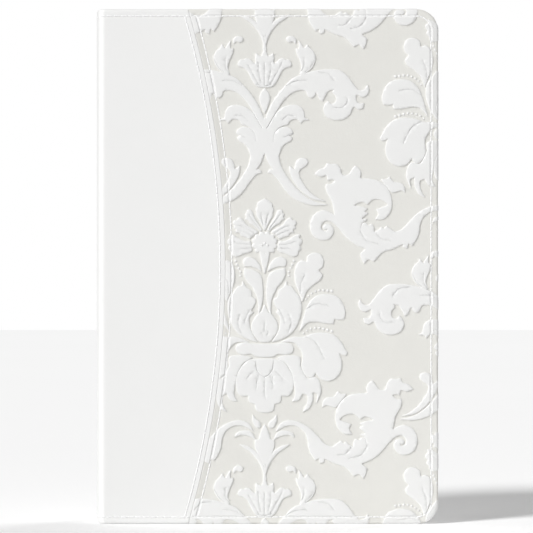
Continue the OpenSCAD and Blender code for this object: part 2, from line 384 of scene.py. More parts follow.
class Net:
    """Points and the lines between them, for one triangulation of a flat sheet."""

    def __init__(self):
        self.points, self.lines = [], []

    def add(self, curve, closed=False):
        """Adds a line through points, or a ring."""
        first, count = len(self.points), len(curve)
        self.points.extend(map(tuple, curve))
        self.lines.extend((first + i, first + (i + 1) % count) for i in range(count if closed else count - 1))

    def scatter(self, s_range, z_range, spacing, seed):
        """Loose points on a jittered grid, so that wide areas can swell a little."""
        rng = np.random.default_rng(seed)
        grid = np.array([(s, z) for s in np.arange(*s_range, spacing) for z in np.arange(*z_range, spacing)])
        self.points.extend(map(tuple, grid + rng.uniform(-0.3, 0.3, grid.shape) * spacing))

    def triangles(self, keep):
        """Triangulates, and drops the triangles whose middles keep() refuses."""
        done = geometry.delaunay_2d_cdt([Vector(p) for p in self.points], self.lines, [], 0, 0.004, False)
        places = np.array([tuple(p) for p in done[0]])
        faces = np.array(done[2])
        faces = faces[keep(places[faces].mean(1))]
        used, index = np.unique(faces, return_inverse=True)
        return places[used], index.reshape(-1, 3)


def both_covers(name, points, faces, smooth=True):
    """Makes a piece on the front cover and its mirror image on the back one, and gives each with its side."""
    for side in ("front", "back"):
        yield side, new_piece(side + name, points, faces, smooth)
        points, faces = np.asarray(points) * [1, -1, 1], [tuple(reversed(f)) for f in faces]


# ---- fixed sizes ----

# Lengths are in millimetres.
START_S = 4.7  # where a cover's leather ends and the spine's begins, from the spine's outside
SPINE_ROLL = 0.9  # the spine's leather rolls tighter than a cover's
FOLD_HALF = 2.2  # half the width over which a cover's fold bends
SPINE_HALF = 2.5  # half the width over which the spine bends
LAP = 1.5  # how far the damask leather runs on under the smooth one
LAP_SINK = 0.12  # how much lower it lies there
SEAM_LIFT = 0.34  # how far it rises towards the smooth panel's edge
FIGURE_STEP = 0.6  # spacing of points along a damask figure
FIGURE_FLANK = (0.27, 0.04, -0.19)  # foot, middle and top of a figure's flank, outwards
VEIN_HALF = 0.3  # half the width of an engraved line
PEARL_HEIGHT = 0.3
FLOWER_RADIUS, PETAL_BULGE, PETALS = 4.6, 1.1, 12  # the round flower's inner radius and its petals
THREAD_FLATNESS = 0.6  # height of a stitch's thread as a share of its width
LEAF_BUNCHES = 8  # bunches of leaves that a section of pages is drawn in
RIBBON_WIDTH = 6.0
BAND_WIDTH = 2.1  # thickness of a headband, out from the spine
BAND_PITCH = 0.62  # from one wrap of a headband's thread to the next
ROOM_LIGHT = 0.165  # strength of the light that comes from all round
FLOOR_GLOW = 0.1  # keeps the floor as pale as the walls
# Name, direction that it comes from, softness in degrees and strength of each lamp.
LAMPS = (("key", (-1.05, -0.95, 1.2), 14, 2.8), ("back", (1.2, 1.3, 1.0), 25, 1.3))
FRAME_WIDTH = 236.5  # width that the camera takes in at the cover
FLOOR_HALF = 4000  # half the floor's side


# ---- sheets, leaves and threads ----

def sheet_rows(roll, turn_in):
    """Heights of the rows of a rolled sheet's grid, laid flat: close together in the roll and the furrow."""
    ring = [roll - math.pi * roll * i / RINGS_ON_ROLL for i in range(RINGS_ON_ROLL, -1, -1)]
    tuck = ring[0] - (turn_in - roll)
    # Heights beside the edge, from the roll's foot over the furrow to the flat leather.
    furrow_rows = [1.5, 1.9, 2.2, 2.45, 2.62, 2.78, 2.94, 3.1, 3.26, 3.42, 3.58, 3.75, 4.1, 4.8, 6]
    lower = [tuck, (tuck + ring[0]) / 2] + ring + furrow_rows
    middle = np.linspace(6, HEIGHT - 6, 112)[1:-1]
    return np.array(lower + list(middle) + [HEIGHT - z for z in reversed(lower)])


def grid_faces(rows, columns):
    """Four-sided faces of a grid, row after row."""
    return [(r * columns + c, r * columns + c + 1, (r + 1) * columns + c + 1, (r + 1) * columns + c)
            for r in range(rows - 1) for c in range(columns - 1)]


def tube_faces(first, rings, around):
    """Faces of a closed tube whose rings of points follow each other, with its two ends."""
    faces = []
    for k in range(rings - 1):
        for j in range(around):
            a, b = first + k * around + j, first + k * around + (j + 1) % around
            faces.append((a, b, b + around, a + around))
    last = first + (rings - 1) * around
    return faces + [tuple(range(first, first + around))[::-1], tuple(range(last, last + around))]


def add_slab(points, faces, rows, near, far):
    """Adds a thin closed slab between two depths. Each row is a list of places (x, z)."""
    first, count, wide = len(points), len(rows), len(rows[0])
    size = count * wide
    points += [(x, y, z) for y in (near, far) for row in rows for x, z in row]
    for i in range(count - 1):
        for j in range(wide - 1):
            a, b = first + i * wide + j, first + (i + 1) * wide + j
            faces.append((a, b, b + 1, a + 1))
            faces.append((a + size, a + 1 + size, b + 1 + size, b + size))
    border = ([i * wide for i in range(count)] + [(count - 1) * wide + j for j in range(1, wide)]
              + [i * wide + wide - 1 for i in range(count - 2, -1, -1)] + list(range(wide - 2, 0, -1)))
    faces += [(first + a, first + a + size, first + b + size, first + b)
              for a, b in zip(border, border[1:] + border[:1])]


def leaf_rows(x_start, x_end, z_low, z_high, radius):
    """Rows for a leaf whose two fore-edge corners are rounded."""
    rows = [[(x, z_low), (x, z_high)] for x in x_start]
    for angle in np.linspace(0, math.pi / 2, 9):
        x = x_end - radius + radius * math.sin(angle)
        inset = radius - radius * math.cos(angle)
        rows.append([(x, z_low + inset), (x, z_high - inset)])
    return rows


def page_section(name, low, high, radius, rng):
    """A folded section of pages: bunches of leaves, trimmed a little unevenly, round at the fold."""
    thick = (high[1] - low[1]) / LEAF_BUNCHES
    slit, most_trim, fold_round = 0.008, 0.14, 0.45
    points, faces = [], []
    for i in range(LEAF_BUNCHES):
        near = low[1] + i * thick + (0 if i == 0 else slit)
        far = low[1] + (i + 1) * thick - (0 if i == LEAF_BUNCHES - 1 else slit)
        off = (i + 0.5) / LEAF_BUNCHES * 2 - 1
        start = low[0] + fold_round * (1 - math.sqrt(1 - off * off))
        trim = rng.uniform(0, most_trim)
        rows = leaf_rows([start], high[0] - trim, low[2] + trim * 0.4, high[2] - trim * 0.4, radius)
        add_slab(points, faces, rows, near, far)
    return new_piece(name + "_pages", points, faces, smooth=False)


def gutter_path(fold_x):
    """Plan of the sheet that bridges the two halves of the book at the middle opening: along the front
    half's last page, into the fold by the spine, and out along the back half's first."""
    deep = LEFT + 0.1
    front = [(fold_x + 6, -0.19), (fold_x + 0.4, -0.19), (fold_x - 0.5, -0.17), (fold_x - 1.2, -0.11)]
    back = [(fold_x - 1.2, 0.11), (fold_x - 0.5, 0.17), (fold_x + 0.4, 0.19), (fold_x + 1.1, 0.19)]
    return front + [(deep + 0.2, -0.04), (deep, 0), (deep + 0.2, 0.04)] + back


def woven_band(name, case, low, high):
    """A rolled band wrapped in thread, along one half of the spine."""
    radius = case.spine_centre - low[0]
    wide, tall = BAND_WIDTH, high[2] - low[2]
    rings, around = 90, 14
    bulge, weave_run = 0.045, 0.4
    points, place = [], []
    for y in np.linspace(low[1], high[1], rings):
        angle = math.asin(y / (radius - wide / 2))
        wrap = 1 + bulge * math.sin(2 * math.pi * y / BAND_PITCH)
        for turn in np.linspace(0, 2 * math.pi, around, endpoint=False):
            out = radius - wide / 2 + wide / 2 * wrap * math.cos(turn)
            up = tall / 2 * wrap * math.sin(turn)
            points.append((case.spine_centre - out * math.cos(angle), out * math.sin(angle),
                           (low[2] + high[2]) / 2 + up))
            place.append((y, turn * weave_run))
    piece = new_piece(name, points, tube_faces(0, rings, around))
    set_place(piece, np.array(place))
    return piece


def ribbon_marker():
    """A ribbon laid between the pages from the head and folded back above the tail."""
    low, high = node_box("ribbon_marker")
    top = np.array([low[0], high[2]])
    turn = np.array([LEFT + (PAGES_HIGH[0] - PAGES_LOW[0]) * 0.66, low[2]])
    end = np.array([high[0] - RIBBON_WIDTH, low[2] + (high[2] - low[2]) * 0.29])
    middle = (low[1] + high[1]) / 2
    run, weave_run = np.linspace(0, 1, 40), 200
    points, faces, place = [], [], []
    # Each length lies between two depths, a hair clear of the other length and of the pages.
    for start, stop, depths in ((top, turn, (middle + 0.015, high[1] - 0.02)),
                                (turn, end, (low[1] + 0.015, middle - 0.005))):
        rows = []
        for share in run:
            at = start + (stop - start) * share
            rows.append([tuple(at + (RIBBON_WIDTH * k / 4, 0)) for k in range(5)][::-1])
        add_slab(points, faces, rows, *depths)
        place += [(k * RIBBON_WIDTH / 4, share * weave_run) for share in (*run, *run) for k in range(5)]
    piece = new_piece("ribbon", points, faces, smooth=False)
    set_place(piece, np.array(place))
    return piece


def sew(case, row, points, faces, place):
    """Adds the stitches of one row, each of them a short length of thread that dives in at both ends."""
    stitching = case.stitching
    thread, length = stitching.thread / MM, stitching.length / MM
    run = np.concatenate([[0], np.cumsum(np.hypot(*np.diff(row, axis=0).T))])
    count = round(run[-1] / (stitching.pitch / MM))
    pitch = run[-1] / count
    shares = np.array([0, 0.04, 0.1, 0.3, 0.5, 0.7, 0.9, 0.96, 1])
    around, dive_depth, dive_share, crown = 8, 0.22, 0.09, 0.12
    for i in range(count):
        at = i * pitch + (pitch - length) / 2 + length * shares
        s, z = np.interp(at, run, row[:, 0]), np.interp(at, run, row[:, 1])
        share = np.minimum(at - at[0], at[-1] - at) / length
        dive = dive_depth * (1 - ease(share / dive_share))
        level = GROUND_DEPTH * ease((s - case.seam(z)) / 0.8 + 0.5)
        plan, normal = case.path(s)
        normal = np.column_stack([normal, np.zeros(len(s))])
        centre = np.column_stack([plan, z])
        centre -= normal * (level + stitching.groove / MM - thread * crown + dive)[:, None]
        along = np.gradient(centre, axis=0)
        along /= np.linalg.norm(along, axis=1)[:, None]
        side = np.cross(along, normal)
        side /= np.linalg.norm(side, axis=1)[:, None]
        faces += tube_faces(len(points), len(shares), around)
        for k in range(len(shares)):
            for turn in np.linspace(0, 2 * math.pi, around, endpoint=False):
                points.append(centre[k] + thread / 2 * (side[k] * math.cos(turn)
                                                        + normal[k] * THREAD_FLATNESS * math.sin(turn)))
                place.append((at[k], turn * thread / 2))


def set_place(piece, flat):
    """Where each point lies on its sheet laid flat, for the materials' patterns."""
    attribute = piece.data.attributes.new("place", "FLOAT_VECTOR", "POINT")
    place = np.zeros((len(flat), 3), np.float32)
    place[:, :2] = flat * MM
    attribute.data.foreach_set("vector", place.ravel())


def fold_blend(side, other="cover"):
    """Bodies and places at a cover's fold. finish_piece reads only that they are given."""
    y = -FACE if side == "front" else FACE
    places = [Vector((LEFT + FOLD_S + off, y, 0)) * MM for off in (-FOLD_HALF, FOLD_HALF)]
    return (side + "_block", side + "_" + other, *places)


def middle_blend(half):
    """Bodies and places at the middle opening. finish_piece reads only that they are given."""
    return "front_block", "back_block", Vector((0, -half, 0)) * MM, Vector((0, half, 0)) * MM


# ---- damask figures ----
# Places are (across from the mirror axis, up from the start of the repeat), in millimetres. Every figure
# is drawn once, on one side of the axis, and a point marked TIP is sharp.

# Half outlines, from the axis and back to it. The other half is the mirror image.
FIGURES_ON_AXIS = {
    "tulip": [(0, -3.4, TIP), (0.7, -5.4), (1.3, -7.4, TIP), (2.6, -7), (3.8, -6, TIP), (4.1, -8.2),
        (3.9, -9.8), (4.4, -10.8, TIP), (5.7, -9.7), (6.7, -8.6), (8.4, -8.4), (9.3, -9.1, TIP), (10.5, -8.8),
        (11.5, -9.8, TIP), (12, -11), (11.4, -11.9, TIP), (9.6, -12.3), (7.9, -13.5), (6.6, -15.9),
        (5.2, -18.6), (3.3, -20.7), (0, -21.2)],
    "tulip_stem": [(0, 2.1, TIP), (0.3, 0.8), (0.4, -1.7), (0.8, -4.8), (0, -5.1, TIP)],
    "drop": [(0, -21.6, TIP), (1.4, -23.3), (2.3, -25.8), (1.7, -28.7), (0.8, -31.2), (0, -32.6, TIP)],
    "trunk": [(0, -34.6), (1.5, -38.1), (3.7, -44.7), (6.4, -49.9), (5.8, -52.3), (2.7, -53),
        (0, -50.6, TIP)],
    "bud": [(0, 19.9, TIP), (1.2, 17.6), (2.1, 15), (2.7, 13.1, TIP), (4.3, 13, TIP), (4.3, 10.3),
        (3.2, 6.9), (1.7, 3.7), (0.1, 1), (0, -0.1, TIP)],
    "crest": [(0, -70.6, TIP), (1.4, -71.2), (2.6, -72.2, TIP), (3.4, -73), (3.2, -74, TIP), (4, -75.2),
        (3.5, -76.7, TIP), (3.6, -77.9), (2.6, -79.7), (1.4, -82), (0.5, -84), (0, -84.6, TIP)],
    "stem": [(0, -94.9, TIP), (2.1, -95, TIP), (1.5, -98.4), (0.7, -101.5), (0.3, -103.6, TIP),
        (0, -103.6, TIP)],
    "flame": [(0, -117.6, TIP), (1.4, -120.6), (3.6, -122.4), (5.5, -125.8), (5.7, -128.9), (4, -132),
        (2, -134), (0, -134.2, TIP)],
    "bar": [(0, -135.1, TIP), (4.4, -135.1), (8.6, -134.5), (11.7, -135.2), (12.8, -137), (11.9, -139),
        (9.3, -139.8), (6, -139.4), (4, -140.5), (0, -140.9)],
    "shell": [(0, -141.6, TIP), (3.4, -141.7), (7.2, -142.4), (10.1, -145.1), (12.1, -148.7),
        (12.8, -152.1), (12.3, -155.7), (10.5, -158), (7.4, -158, TIP), (6.9, -160.7), (4.4, -161.7, TIP),
        (3.6, -164.6), (0, -165.5)],
}

# Whole outlines, each with its mirror image on the other side of the axis.
FIGURES_BESIDE_AXIS = {
    "arm": [(-0.1, -36.3, TIP), (2.4, -30.1), (5.8, -24.5), (10, -19.7), (12.8, -17.1), (16.9, -15.4),
        (22.5, -13.8), (28.7, -13.2), (33.6, -13.8), (37, -16.6), (39.5, -20), (41.9, -22.5), (44, -22.3),
        (45.7, -20, TIP), (46.3, -22.1), (45.4, -24.4), (43.3, -25.4), (40.8, -24.4), (40.5, -26.6),
        (41.5, -28.2), (44.1, -28.3, TIP), (43.6, -30.2), (41.7, -30.9), (39.5, -29.8), (37.7, -33.2),
        (34.6, -35.3), (30.8, -35.5), (27.5, -34.1), (26.1, -31.1), (27, -28.4), (28.2, -27.3, TIP),
        (29.5, -28.6), (31.5, -27.7), (31.6, -25.2), (30.1, -23.2), (30.8, -22.1, TIP), (28.4, -22.7),
        (27, -24.7), (25.7, -27.3, TIP), (24.3, -26.4), (23.7, -24.7), (22.6, -23.3, TIP), (22.3, -24.7),
        (20.7, -25.8), (19.1, -24.9), (18.3, -22.8), (16.2, -22.3), (12.8, -23.2), (9.3, -25.9),
        (5.8, -30.8), (3.2, -36), (1.9, -38.8), (0.6, -40.5, TIP)],
    "plume": [(15.5, -15.4, TIP), (16.4, -12.1), (15.4, -8.6), (14, -5.5), (13.9, -3.9, TIP), (15, -4.2),
        (15.3, -2.4), (15.1, -0.4, TIP), (16.6, -2.5), (17.5, -3.9), (19, -2, TIP), (19.7, -3.4),
        (21.4, -5.1), (22.6, -7.9), (21.6, -11.4), (19.3, -14), (16.6, -16, TIP)],
    "curl": [(13.7, -1.8, TIP), (12.6, -0.7), (11, -1.2), (9.7, -0.4), (9.6, 0.7), (11.2, 1.5), (13, 1.1),
        (14, -0.3)],
    "crook": [(1.1, -39.1, TIP), (3.2, -35), (6.2, -31.5), (9.6, -29.5), (13.5, -29), (16.2, -30.1),
        (17.5, -32.5), (17.8, -34.6), (19.7, -35.6, TIP), (17.1, -35.9), (16.2, -37.1, TIP), (14.5, -35.3),
        (12.8, -35.3), (11.2, -35.9), (10.2, -37.5), (8.3, -38.1), (6.2, -39.3), (4.4, -41.5),
        (3.5, -45.7), (1, -45.7)],
    "lobe": [(1.7, -46.4), (3.9, -45, TIP), (4.3, -42), (6.2, -39.7), (8.9, -38.8), (11.4, -39.5),
        (12.6, -41.5), (10.8, -42.7), (12.2, -43.6), (11.2, -45), (9.3, -46), (7.6, -47.8), (6.5, -50.6),
        (3.7, -52.3)],
    "leg": [(0.6, -49.9), (1.7, -54.7), (3.7, -57.7), (2.5, -57.5), (1.2, -58.9, TIP), (3.7, -59.8),
        (6.5, -63), (10.7, -68.6), (15.5, -71.8), (21.8, -73.5), (27.9, -73.2, TIP), (22.8, -72.2),
        (18.3, -69.8), (13.5, -65.3), (9.6, -60.3), (7.2, -55.8), (6.2, -51.6), (5.8, -49.5)],
    "sprig": [(11, -55.9, TIP), (11.2, -58.9), (13.1, -63), (16.6, -67.4), (21.1, -70.5), (27, -71.8, TIP),
        (22.8, -69.8), (19, -66.5), (16.2, -62.3), (15.1, -59.2), (15.9, -57.5), (17.8, -56.2),
        (19.1, -54.7), (18.7, -53.1), (16.4, -52.6), (14.3, -53.7), (13.6, -55.9), (13.2, -57.7, TIP),
        (12.2, -57)],
    "tear": [(5.3, 24.2, TIP), (5.4, 21.8), (4.4, 19.2), (2.9, 18.2), (1.7, 19.1), (2.2, 20.9),
        (3.9, 22.2)],
    "wing": [(4.3, 13.2, TIP), (5.1, 15.5), (7.2, 16.9), (10, 16.9), (12.6, 15.9), (13.3, 14.1, TIP),
        (10.7, 15.2), (7.9, 14.9), (5.8, 14.1)],
    "tendril": [(0.1, -0.8), (0.6, 2.3), (2.2, 6), (4.4, 8.2), (7.9, 10.3), (11.2, 11, TIP), (8.9, 9.3),
        (6.2, 7.5), (3.6, 4.6), (1.7, 1.3), (0.6, -1.8), (0.1, -2.9)],
    "scroll": [(5, 16.7, TIP), (6.8, 19.9), (10.5, 21.6), (14.8, 21), (19.1, 18.8), (23.2, 15),
        (26.6, 11.4), (29.8, 10), (32.2, 11.4), (33.9, 12.5), (34.8, 11.4), (36.2, 12.1), (37, 11),
        (38.4, 10.3), (39.4, 9.9, TIP), (39.5, 12.1), (40.5, 13.4), (41.9, 12.7), (42.9, 13.8),
        (44.3, 13.8), (45.2, 11.4), (44.7, 13.8), (42.4, 15.5, TIP), (44.7, 15.9), (42, 18.3, TIP),
        (43.6, 19), (42.2, 20.2, TIP), (44.7, 21.1), (48.1, 21.8), (44.7, 23.4), (42.4, 22.2, TIP),
        (39.8, 24.4), (36, 24.2), (33.3, 22), (35.6, 20.9), (38.4, 19.9, TIP), (37.4, 18.1),
        (38.8, 15.5, TIP), (35.3, 15.7), (32.5, 18.3), (31.5, 21.4), (31.8, 25.6), (33.9, 29.9),
        (37.7, 32.7), (41.9, 33.6), (45.5, 33.9), (45.1, 36), (46.2, 38.2), (47.8, 39.3, TIP),
        (49.1, 37.5), (50.8, 35.3), (53.4, 35.3), (54.4, 38.1), (56.1, 40), (58.7, 40), (60.3, 40.4, TIP),
        (61, 38.6), (63.4, 37.7), (65.9, 35.6, TIP), (63.1, 34.5), (60.5, 35.1), (59.8, 32.8, TIP),
        (58.3, 33.3), (56.7, 32.7), (58.7, 31.1), (60.6, 31.1), (60.5, 28), (58.2, 23.8), (57.3, 20),
        (57, 17.6), (58.7, 18.6), (62, 19.5), (65.8, 17.6), (67.7, 13.4), (66.7, 8.9), (63.4, 6.6),
        (59.6, 6.9), (57.3, 10), (58.2, 12.7), (60.6, 13.4), (62, 12.1), (61, 11), (60.1, 11.4),
        (60.6, 10.1), (62.6, 11), (62.8, 13.1), (61, 15), (58.2, 14.5), (55.4, 12.1), (50.9, 6.9),
        (46.7, 3.9), (43.3, 2.4), (45.4, 0.3, TIP), (44.8, -2.2), (43.8, -4.1, TIP), (41.9, -2.2),
        (39.5, -3.1, TIP), (38.1, -1.5), (35.6, 1), (30.8, 2.6), (26.4, 4.6), (26.5, 3.4),
        (24.5, 2.6, TIP), (24.1, 4.8), (22.5, 3.8, TIP), (20.5, 6.9), (19.3, 10), (19, 13.1), (17.3, 16.9),
        (13.8, 19.2), (10, 19.3), (7.2, 18.1)],
    "leaflet": [(25.6, 27.5, TIP), (25.9, 30), (27.5, 31.6), (30.8, 32.2), (32.5, 34.5, TIP), (34, 33.3),
        (36.1, 33.2), (35.2, 31.8), (33.2, 29.4), (31.5, 27.5), (29.5, 27.8), (27.2, 28.4)],
    "top_petal": [(1.1, -84.6, TIP), (2.8, -81.8), (4.7, -78.9), (5.4, -76.6), (6.6, -75.5),
        (7.9, -75.8, TIP),
        (7.9, -76.9), (8.8, -77.5, TIP), (8.1, -78.6), (8.8, -79.6, TIP), (7.4, -80.1), (6.7, -81.3, TIP),
        (5, -82.2), (3.1, -83.8), (2, -85, TIP)],
    "middle_petal": [(2.9, -85.4, TIP), (5.4, -83.7), (8, -82.3), (9.5, -80.3), (10.9, -79), (12, -79.2, TIP),
        (12.2, -80.2), (13.4, -80.2, TIP), (14.1, -81.4), (13.2, -82.4, TIP), (13.8, -83.6, TIP),
        (12.5, -84.1), (13, -85.5, TIP), (11.1, -85.7), (10.6, -87, TIP), (8.6, -87.5), (6.6, -88.4, TIP),
        (5.6, -87.2)],
    "side_petal": [(6.3, -89.5, TIP), (8.9, -89.4), (11.6, -88.2), (13.7, -86.8, TIP), (15.7, -86.6),
        (15.2, -88.1, TIP), (16.5, -89), (16.2, -90.6), (15.3, -91.2, TIP), (16.1, -92.7),
        (14.8, -93.9, TIP), (14.7, -95.3), (13, -96.3, TIP), (11.1, -95.8), (8.9, -94.8), (6.6, -94.2),
        (5.6, -93.3, TIP)],
    "ear": [(1.4, -102.8, TIP), (2.4, -99.8), (4.3, -97.5), (6.9, -96.5), (9.2, -97.3), (9.6, -99.1),
        (8.9, -100.5), (6.2, -100.6), (3.6, -101.4)],
    "small_leaf": [(1.1, -107.1), (1.9, -104.4), (4.6, -102.5), (9, -101.5, TIP), (9.2, -104.3),
        (7.6, -107.4),
        (5.3, -110), (4.9, -111.2, TIP), (3.5, -114), (2.8, -117.5), (2.8, -122.2, TIP), (1.7, -119.4),
        (0.8, -114)],
    "acanthus": [(3.2, -134.1, TIP), (7.9, -132.7), (12.4, -129.6), (15.4, -124.2), (16.4, -119),
        (15.7, -114.7), (13.2, -111.4), (11.8, -109.3, TIP), (10.2, -109.1), (9.7, -107.1, TIP),
        (8.3, -109.8), (6.2, -111.4), (5.8, -114, TIP), (4, -115.5), (4.4, -117.3), (6, -120.4),
        (4.9, -120.9, TIP), (6.8, -123.1), (6.7, -127.2), (5.5, -130.5)],
    "upper_leaf": [(16.6, -116.2, TIP), (15.5, -112.6), (13.8, -108.4), (13.3, -104.3), (14.1, -100.1),
        (16.4, -98), (18.6, -98.5), (19.1, -96.1), (21.9, -94.6), (25, -95.5), (26.1, -98.5),
        (25.5, -100.9), (24, -102.2), (25.7, -104.4, TIP), (24.7, -106.5), (21.2, -109), (18.6, -111.8),
        (17.2, -115.4, TIP)],
    "middle_leaf": [(15.5, -129.4, TIP), (17.8, -121.6), (19.8, -116.8), (23.3, -113.7), (28, -113),
        (32.3, -114.3), (34.7, -117.3), (35.8, -121.1), (35.2, -124.1, TIP), (32.3, -124.2),
        (30.9, -123.8, TIP), (30.5, -126.1, TIP), (26.6, -125.8), (22.6, -125.1), (19.1, -125.5),
        (17.2, -127.3)],
    "lower_leaf": [(7.2, -134.2, TIP), (12.8, -132), (17.1, -132), (21.2, -130.5), (26.6, -130.1),
        (30.9, -131.3), (34.3, -134.7), (35.6, -137.3), (36.8, -138.8, TIP), (35.9, -140.1),
        (33, -139.2, TIP), (34.1, -142.4), (34, -146.2), (32.2, -149.5), (28.7, -151.4), (25.1, -150.7),
        (22.5, -147.8, TIP), (21.6, -149.6), (19.7, -150), (17.6, -148.1), (16.4, -144.5), (16.9, -140.3),
        (15.5, -136.9), (12.8, -134.4)],
    "tails": [(5.5, -141.2, TIP), (10, -140.2), (15.5, -140.9), (16, -145.2), (19, -150.4), (22.6, -149.9),
        (24.4, -152.1), (25, -156.3), (23, -161.3, TIP), (23.3, -157.3), (21.4, -156.4, TIP),
        (21.2, -160.4), (19.6, -163.6), (16.8, -165.3, TIP), (18.7, -161.8), (19, -158), (16.9, -157, TIP),
        (15.2, -159.8), (12.1, -160.7, TIP), (13.6, -157.7), (13, -152.8), (11.8, -147.3), (9.3, -143.5)],
}

# Lines engraved in the figures, mirrored in the same way.
VEINS = [
    [(0, -10.3), (0, -20)], [(2.8, -10), (2.7, -13.8), (1.7, -18.3)],
    [(7.2, -11.4), (5, -15.4), (2.5, -19.8)], [(-3.1, -19.8), (0, -20.6), (3.1, -19.8)],
    [(9.6, -20.5), (13.5, -18.4), (18.4, -18)], [(23.9, -14.5), (28.2, -15.2), (31.2, -18.3)],
    [(30.9, -30.1), (33.9, -30.1), (36.5, -28.2), (36.7, -26.1)],
    [(17.5, -8.3), (17.3, -12.1), (15.7, -14.7)], [(22.3, -8.9), (20.5, -12.1), (18, -14.3)],
    [(7.6, -35.8), (9.8, -33.9), (12.9, -33.6)], [(8.9, -43.1), (11, -42.4), (12.6, -41.5)],
    [(1.1, -39.1), (2.4, -37), (5.1, -32.2)], [(32.5, 6.2), (36, 6.9), (38.3, 9.5)],
    [(38.1, 4.9), (42.6, 6.2), (45.5, 10.3)], [(-1.2, -77.6), (-0.6, -82.1)], [(1.7, -77.2), (0.8, -81.4)],
    [(6.9, -77.6), (4.6, -80.7), (2.3, -83.6)], [(10.9, -82.3), (7, -84.1), (4.4, -86)],
    [(9.9, -84.8), (7.6, -85.8), (5.9, -86.6)], [(6.9, -90.9), (11, -90.5), (13.4, -89.5)],
    [(7.2, -92.5), (11, -92.8)],
    [(11, -122), (11.9, -125.8), (10.4, -129.9)], [(6.4, -119.7), (8, -122.4), (8.9, -125.4)],
    [(17.8, -104.3), (16.1, -108.4), (15.8, -112.9)], [(18.4, -119.7), (22.6, -117.3), (28.2, -117.9)],
    [(17.8, -131.5), (22.6, -134.2), (26.4, -141.2)], [(0, -125.4), (0, -128.9)],
    [(-1.5, -129.6), (-1.1, -130.8)], [(0, -149.9), (0, -157.8)], [(-3.5, -149.4), (-3.7, -154.2)],
    [(2.7, -149.2), (3.5, -152.5)], [(5.3, -147.4), (8, -150.2)],
    [(-3.9, -143.8), (-3.3, -146.9), (0, -149.6), (3.1, -147.1), (3.9, -143.3)],
]

# Strings of pearls: the line that each follows, how many, and the first and last radius.
PEARLS = [
    ([(12.9, -98.2), (11.9, -100.8), (10.8, -102.8), (10.8, -104.8)], 5, 0.55, 0.45),
    ([(18.4, -115.2), (20.5, -112.9), (24.2, -111.2), (29.8, -111.6)], 8, 0.35, 0.62),
    ([(17.3, -130.3), (19.7, -128.7), (24.2, -128), (29.8, -129.4)], 8, 0.35, 0.62),
]
FLOWER_CENTRE = (0, -90.4)


def every_figure():
    """Every figure outline of one repeat, as smooth curves, with the mirror images."""
    outlines = []
    for points in FIGURES_ON_AXIS.values():
        other = [(-p[0], *p[1:]) for p in reversed(points) if abs(p[0]) > 1e-6]
        outlines.append(smooth_curve(points + other, step=FIGURE_STEP))
    for points in FIGURES_BESIDE_AXIS.values():
        curve = smooth_curve(points, step=FIGURE_STEP)
        outlines += [curve, curve * [-1, 1]]
    turn = np.linspace(0, 2 * math.pi, 108, endpoint=False)
    radius = FLOWER_RADIUS + PETAL_BULGE * np.abs(np.sin(PETALS / 2 * turn))
    outlines.append(np.stack([radius * np.cos(turn), 0.92 * radius * np.sin(turn)], 1) + FLOWER_CENTRE)
    return outlines


def every_vein():
    """Every engraved line of one repeat, with the mirror images."""
    curves = [smooth_curve(points, False, FIGURE_STEP) for points in VEINS]
    return curves + [c * [-1, 1] for c in curves if np.abs(c[:, 0]).max() > 0.1]


def every_pearl():
    """Centre and radius of every raised pearl of one repeat."""
    pearls = [(np.array(FLOWER_CENTRE) + dot, 0.5) for dot in ((-1.3, -0.7), (1.3, -0.7), (0, 0.1))]
    for points, count, first, last in PEARLS:
        curve = smooth_curve(points, False, 0.1)
        run = np.concatenate([[0], np.cumsum(np.hypot(*np.diff(curve, axis=0).T))])
        for i in range(count):
            at = run[-1] * i / (count - 1)
            place = np.array([np.interp(at, run, curve[:, 0]), np.interp(at, run, curve[:, 1])])
            radius = first + (last - first) * i / (count - 1)
            pearls += [(place, radius), (place * [-1, 1], radius)]
    return pearls


def repeats(sizes):
    """Where the damask's repeat is set down on the cover."""
    top, height = sizes.repeat_top / MM, sizes.repeat / MM
    first, pitch = sizes.column / MM, sizes.column_pitch / MM
    for column in (0, 1):
        for turn in (-1, 0, 1, 2):
            yield np.array([first + column * pitch, top + turn * height - column * height / 2])


# ---- materials ----

def socket(sockets, name=None):
    """The socket in use that has this name or number, or the first one in use."""
    if isinstance(name, int):
        return sockets[name]
    return next(s for s in sockets if s.enabled and name in (None, s.name))


def node(tree, kind, inputs=None, **settings):
    """Adds a node. An input is a value, a node to link, or a node and the name of its output."""
    made = tree.nodes.new(kind)
    for name, value in settings.items():
        setattr(made, name, value)
    for name, value in (inputs or {}).items():
        source, output = value if isinstance(value, tuple) and len(value) == 2 else (value, None)
        if isinstance(source, bpy.types.Node):
            tree.links.new(socket(source.outputs, output), socket(made.inputs, name))
        else:
            socket(made.inputs, name).default_value = value
    return made


def new_material(name, **values):
    """A material with a principled shader. Words of a socket's name are joined by underscores."""
    material = bpy.data.materials.new(name)
    material.use_nodes = True
    shader = material.node_tree.nodes["Principled BSDF"]
    for key, value in values.items():
        shader.inputs[key.replace("_", " ")].default_value = value
    return material, material.node_tree, shader


def wire(tree, shader, **nodes):
    """Links nodes to the shader's sockets."""
    for key, source in nodes.items():
        tree.links.new(socket(source.outputs), shader.inputs[key.replace("_", " ")])


def dress(tree, shader, mottle, dark, light, texture, strength, depth, **more):
    """Mottles a surface between two colours, and presses a texture into it. Where the mottle is the texture
    itself, its dips take the darker colour: painted shade.
    """
    tint = node(tree, "ShaderNodeMix", {"Factor": mottle, "A": dark, "B": light}, data_type="RGBA")
    bump = node(tree, "ShaderNodeBump", {"Height": texture, "Strength": strength, "Distance": depth * MM})
    wire(tree, shader, Normal=bump, Base_Color=tint, **more)


def per_metre(millimetres):
    """Texture scale that gives cells of this size."""
    return 1 / (millimetres * MM)


def shaded(colour, share):
    """The same colour, darker."""
    return (*[c * share for c in colour[:3]], 1.0)


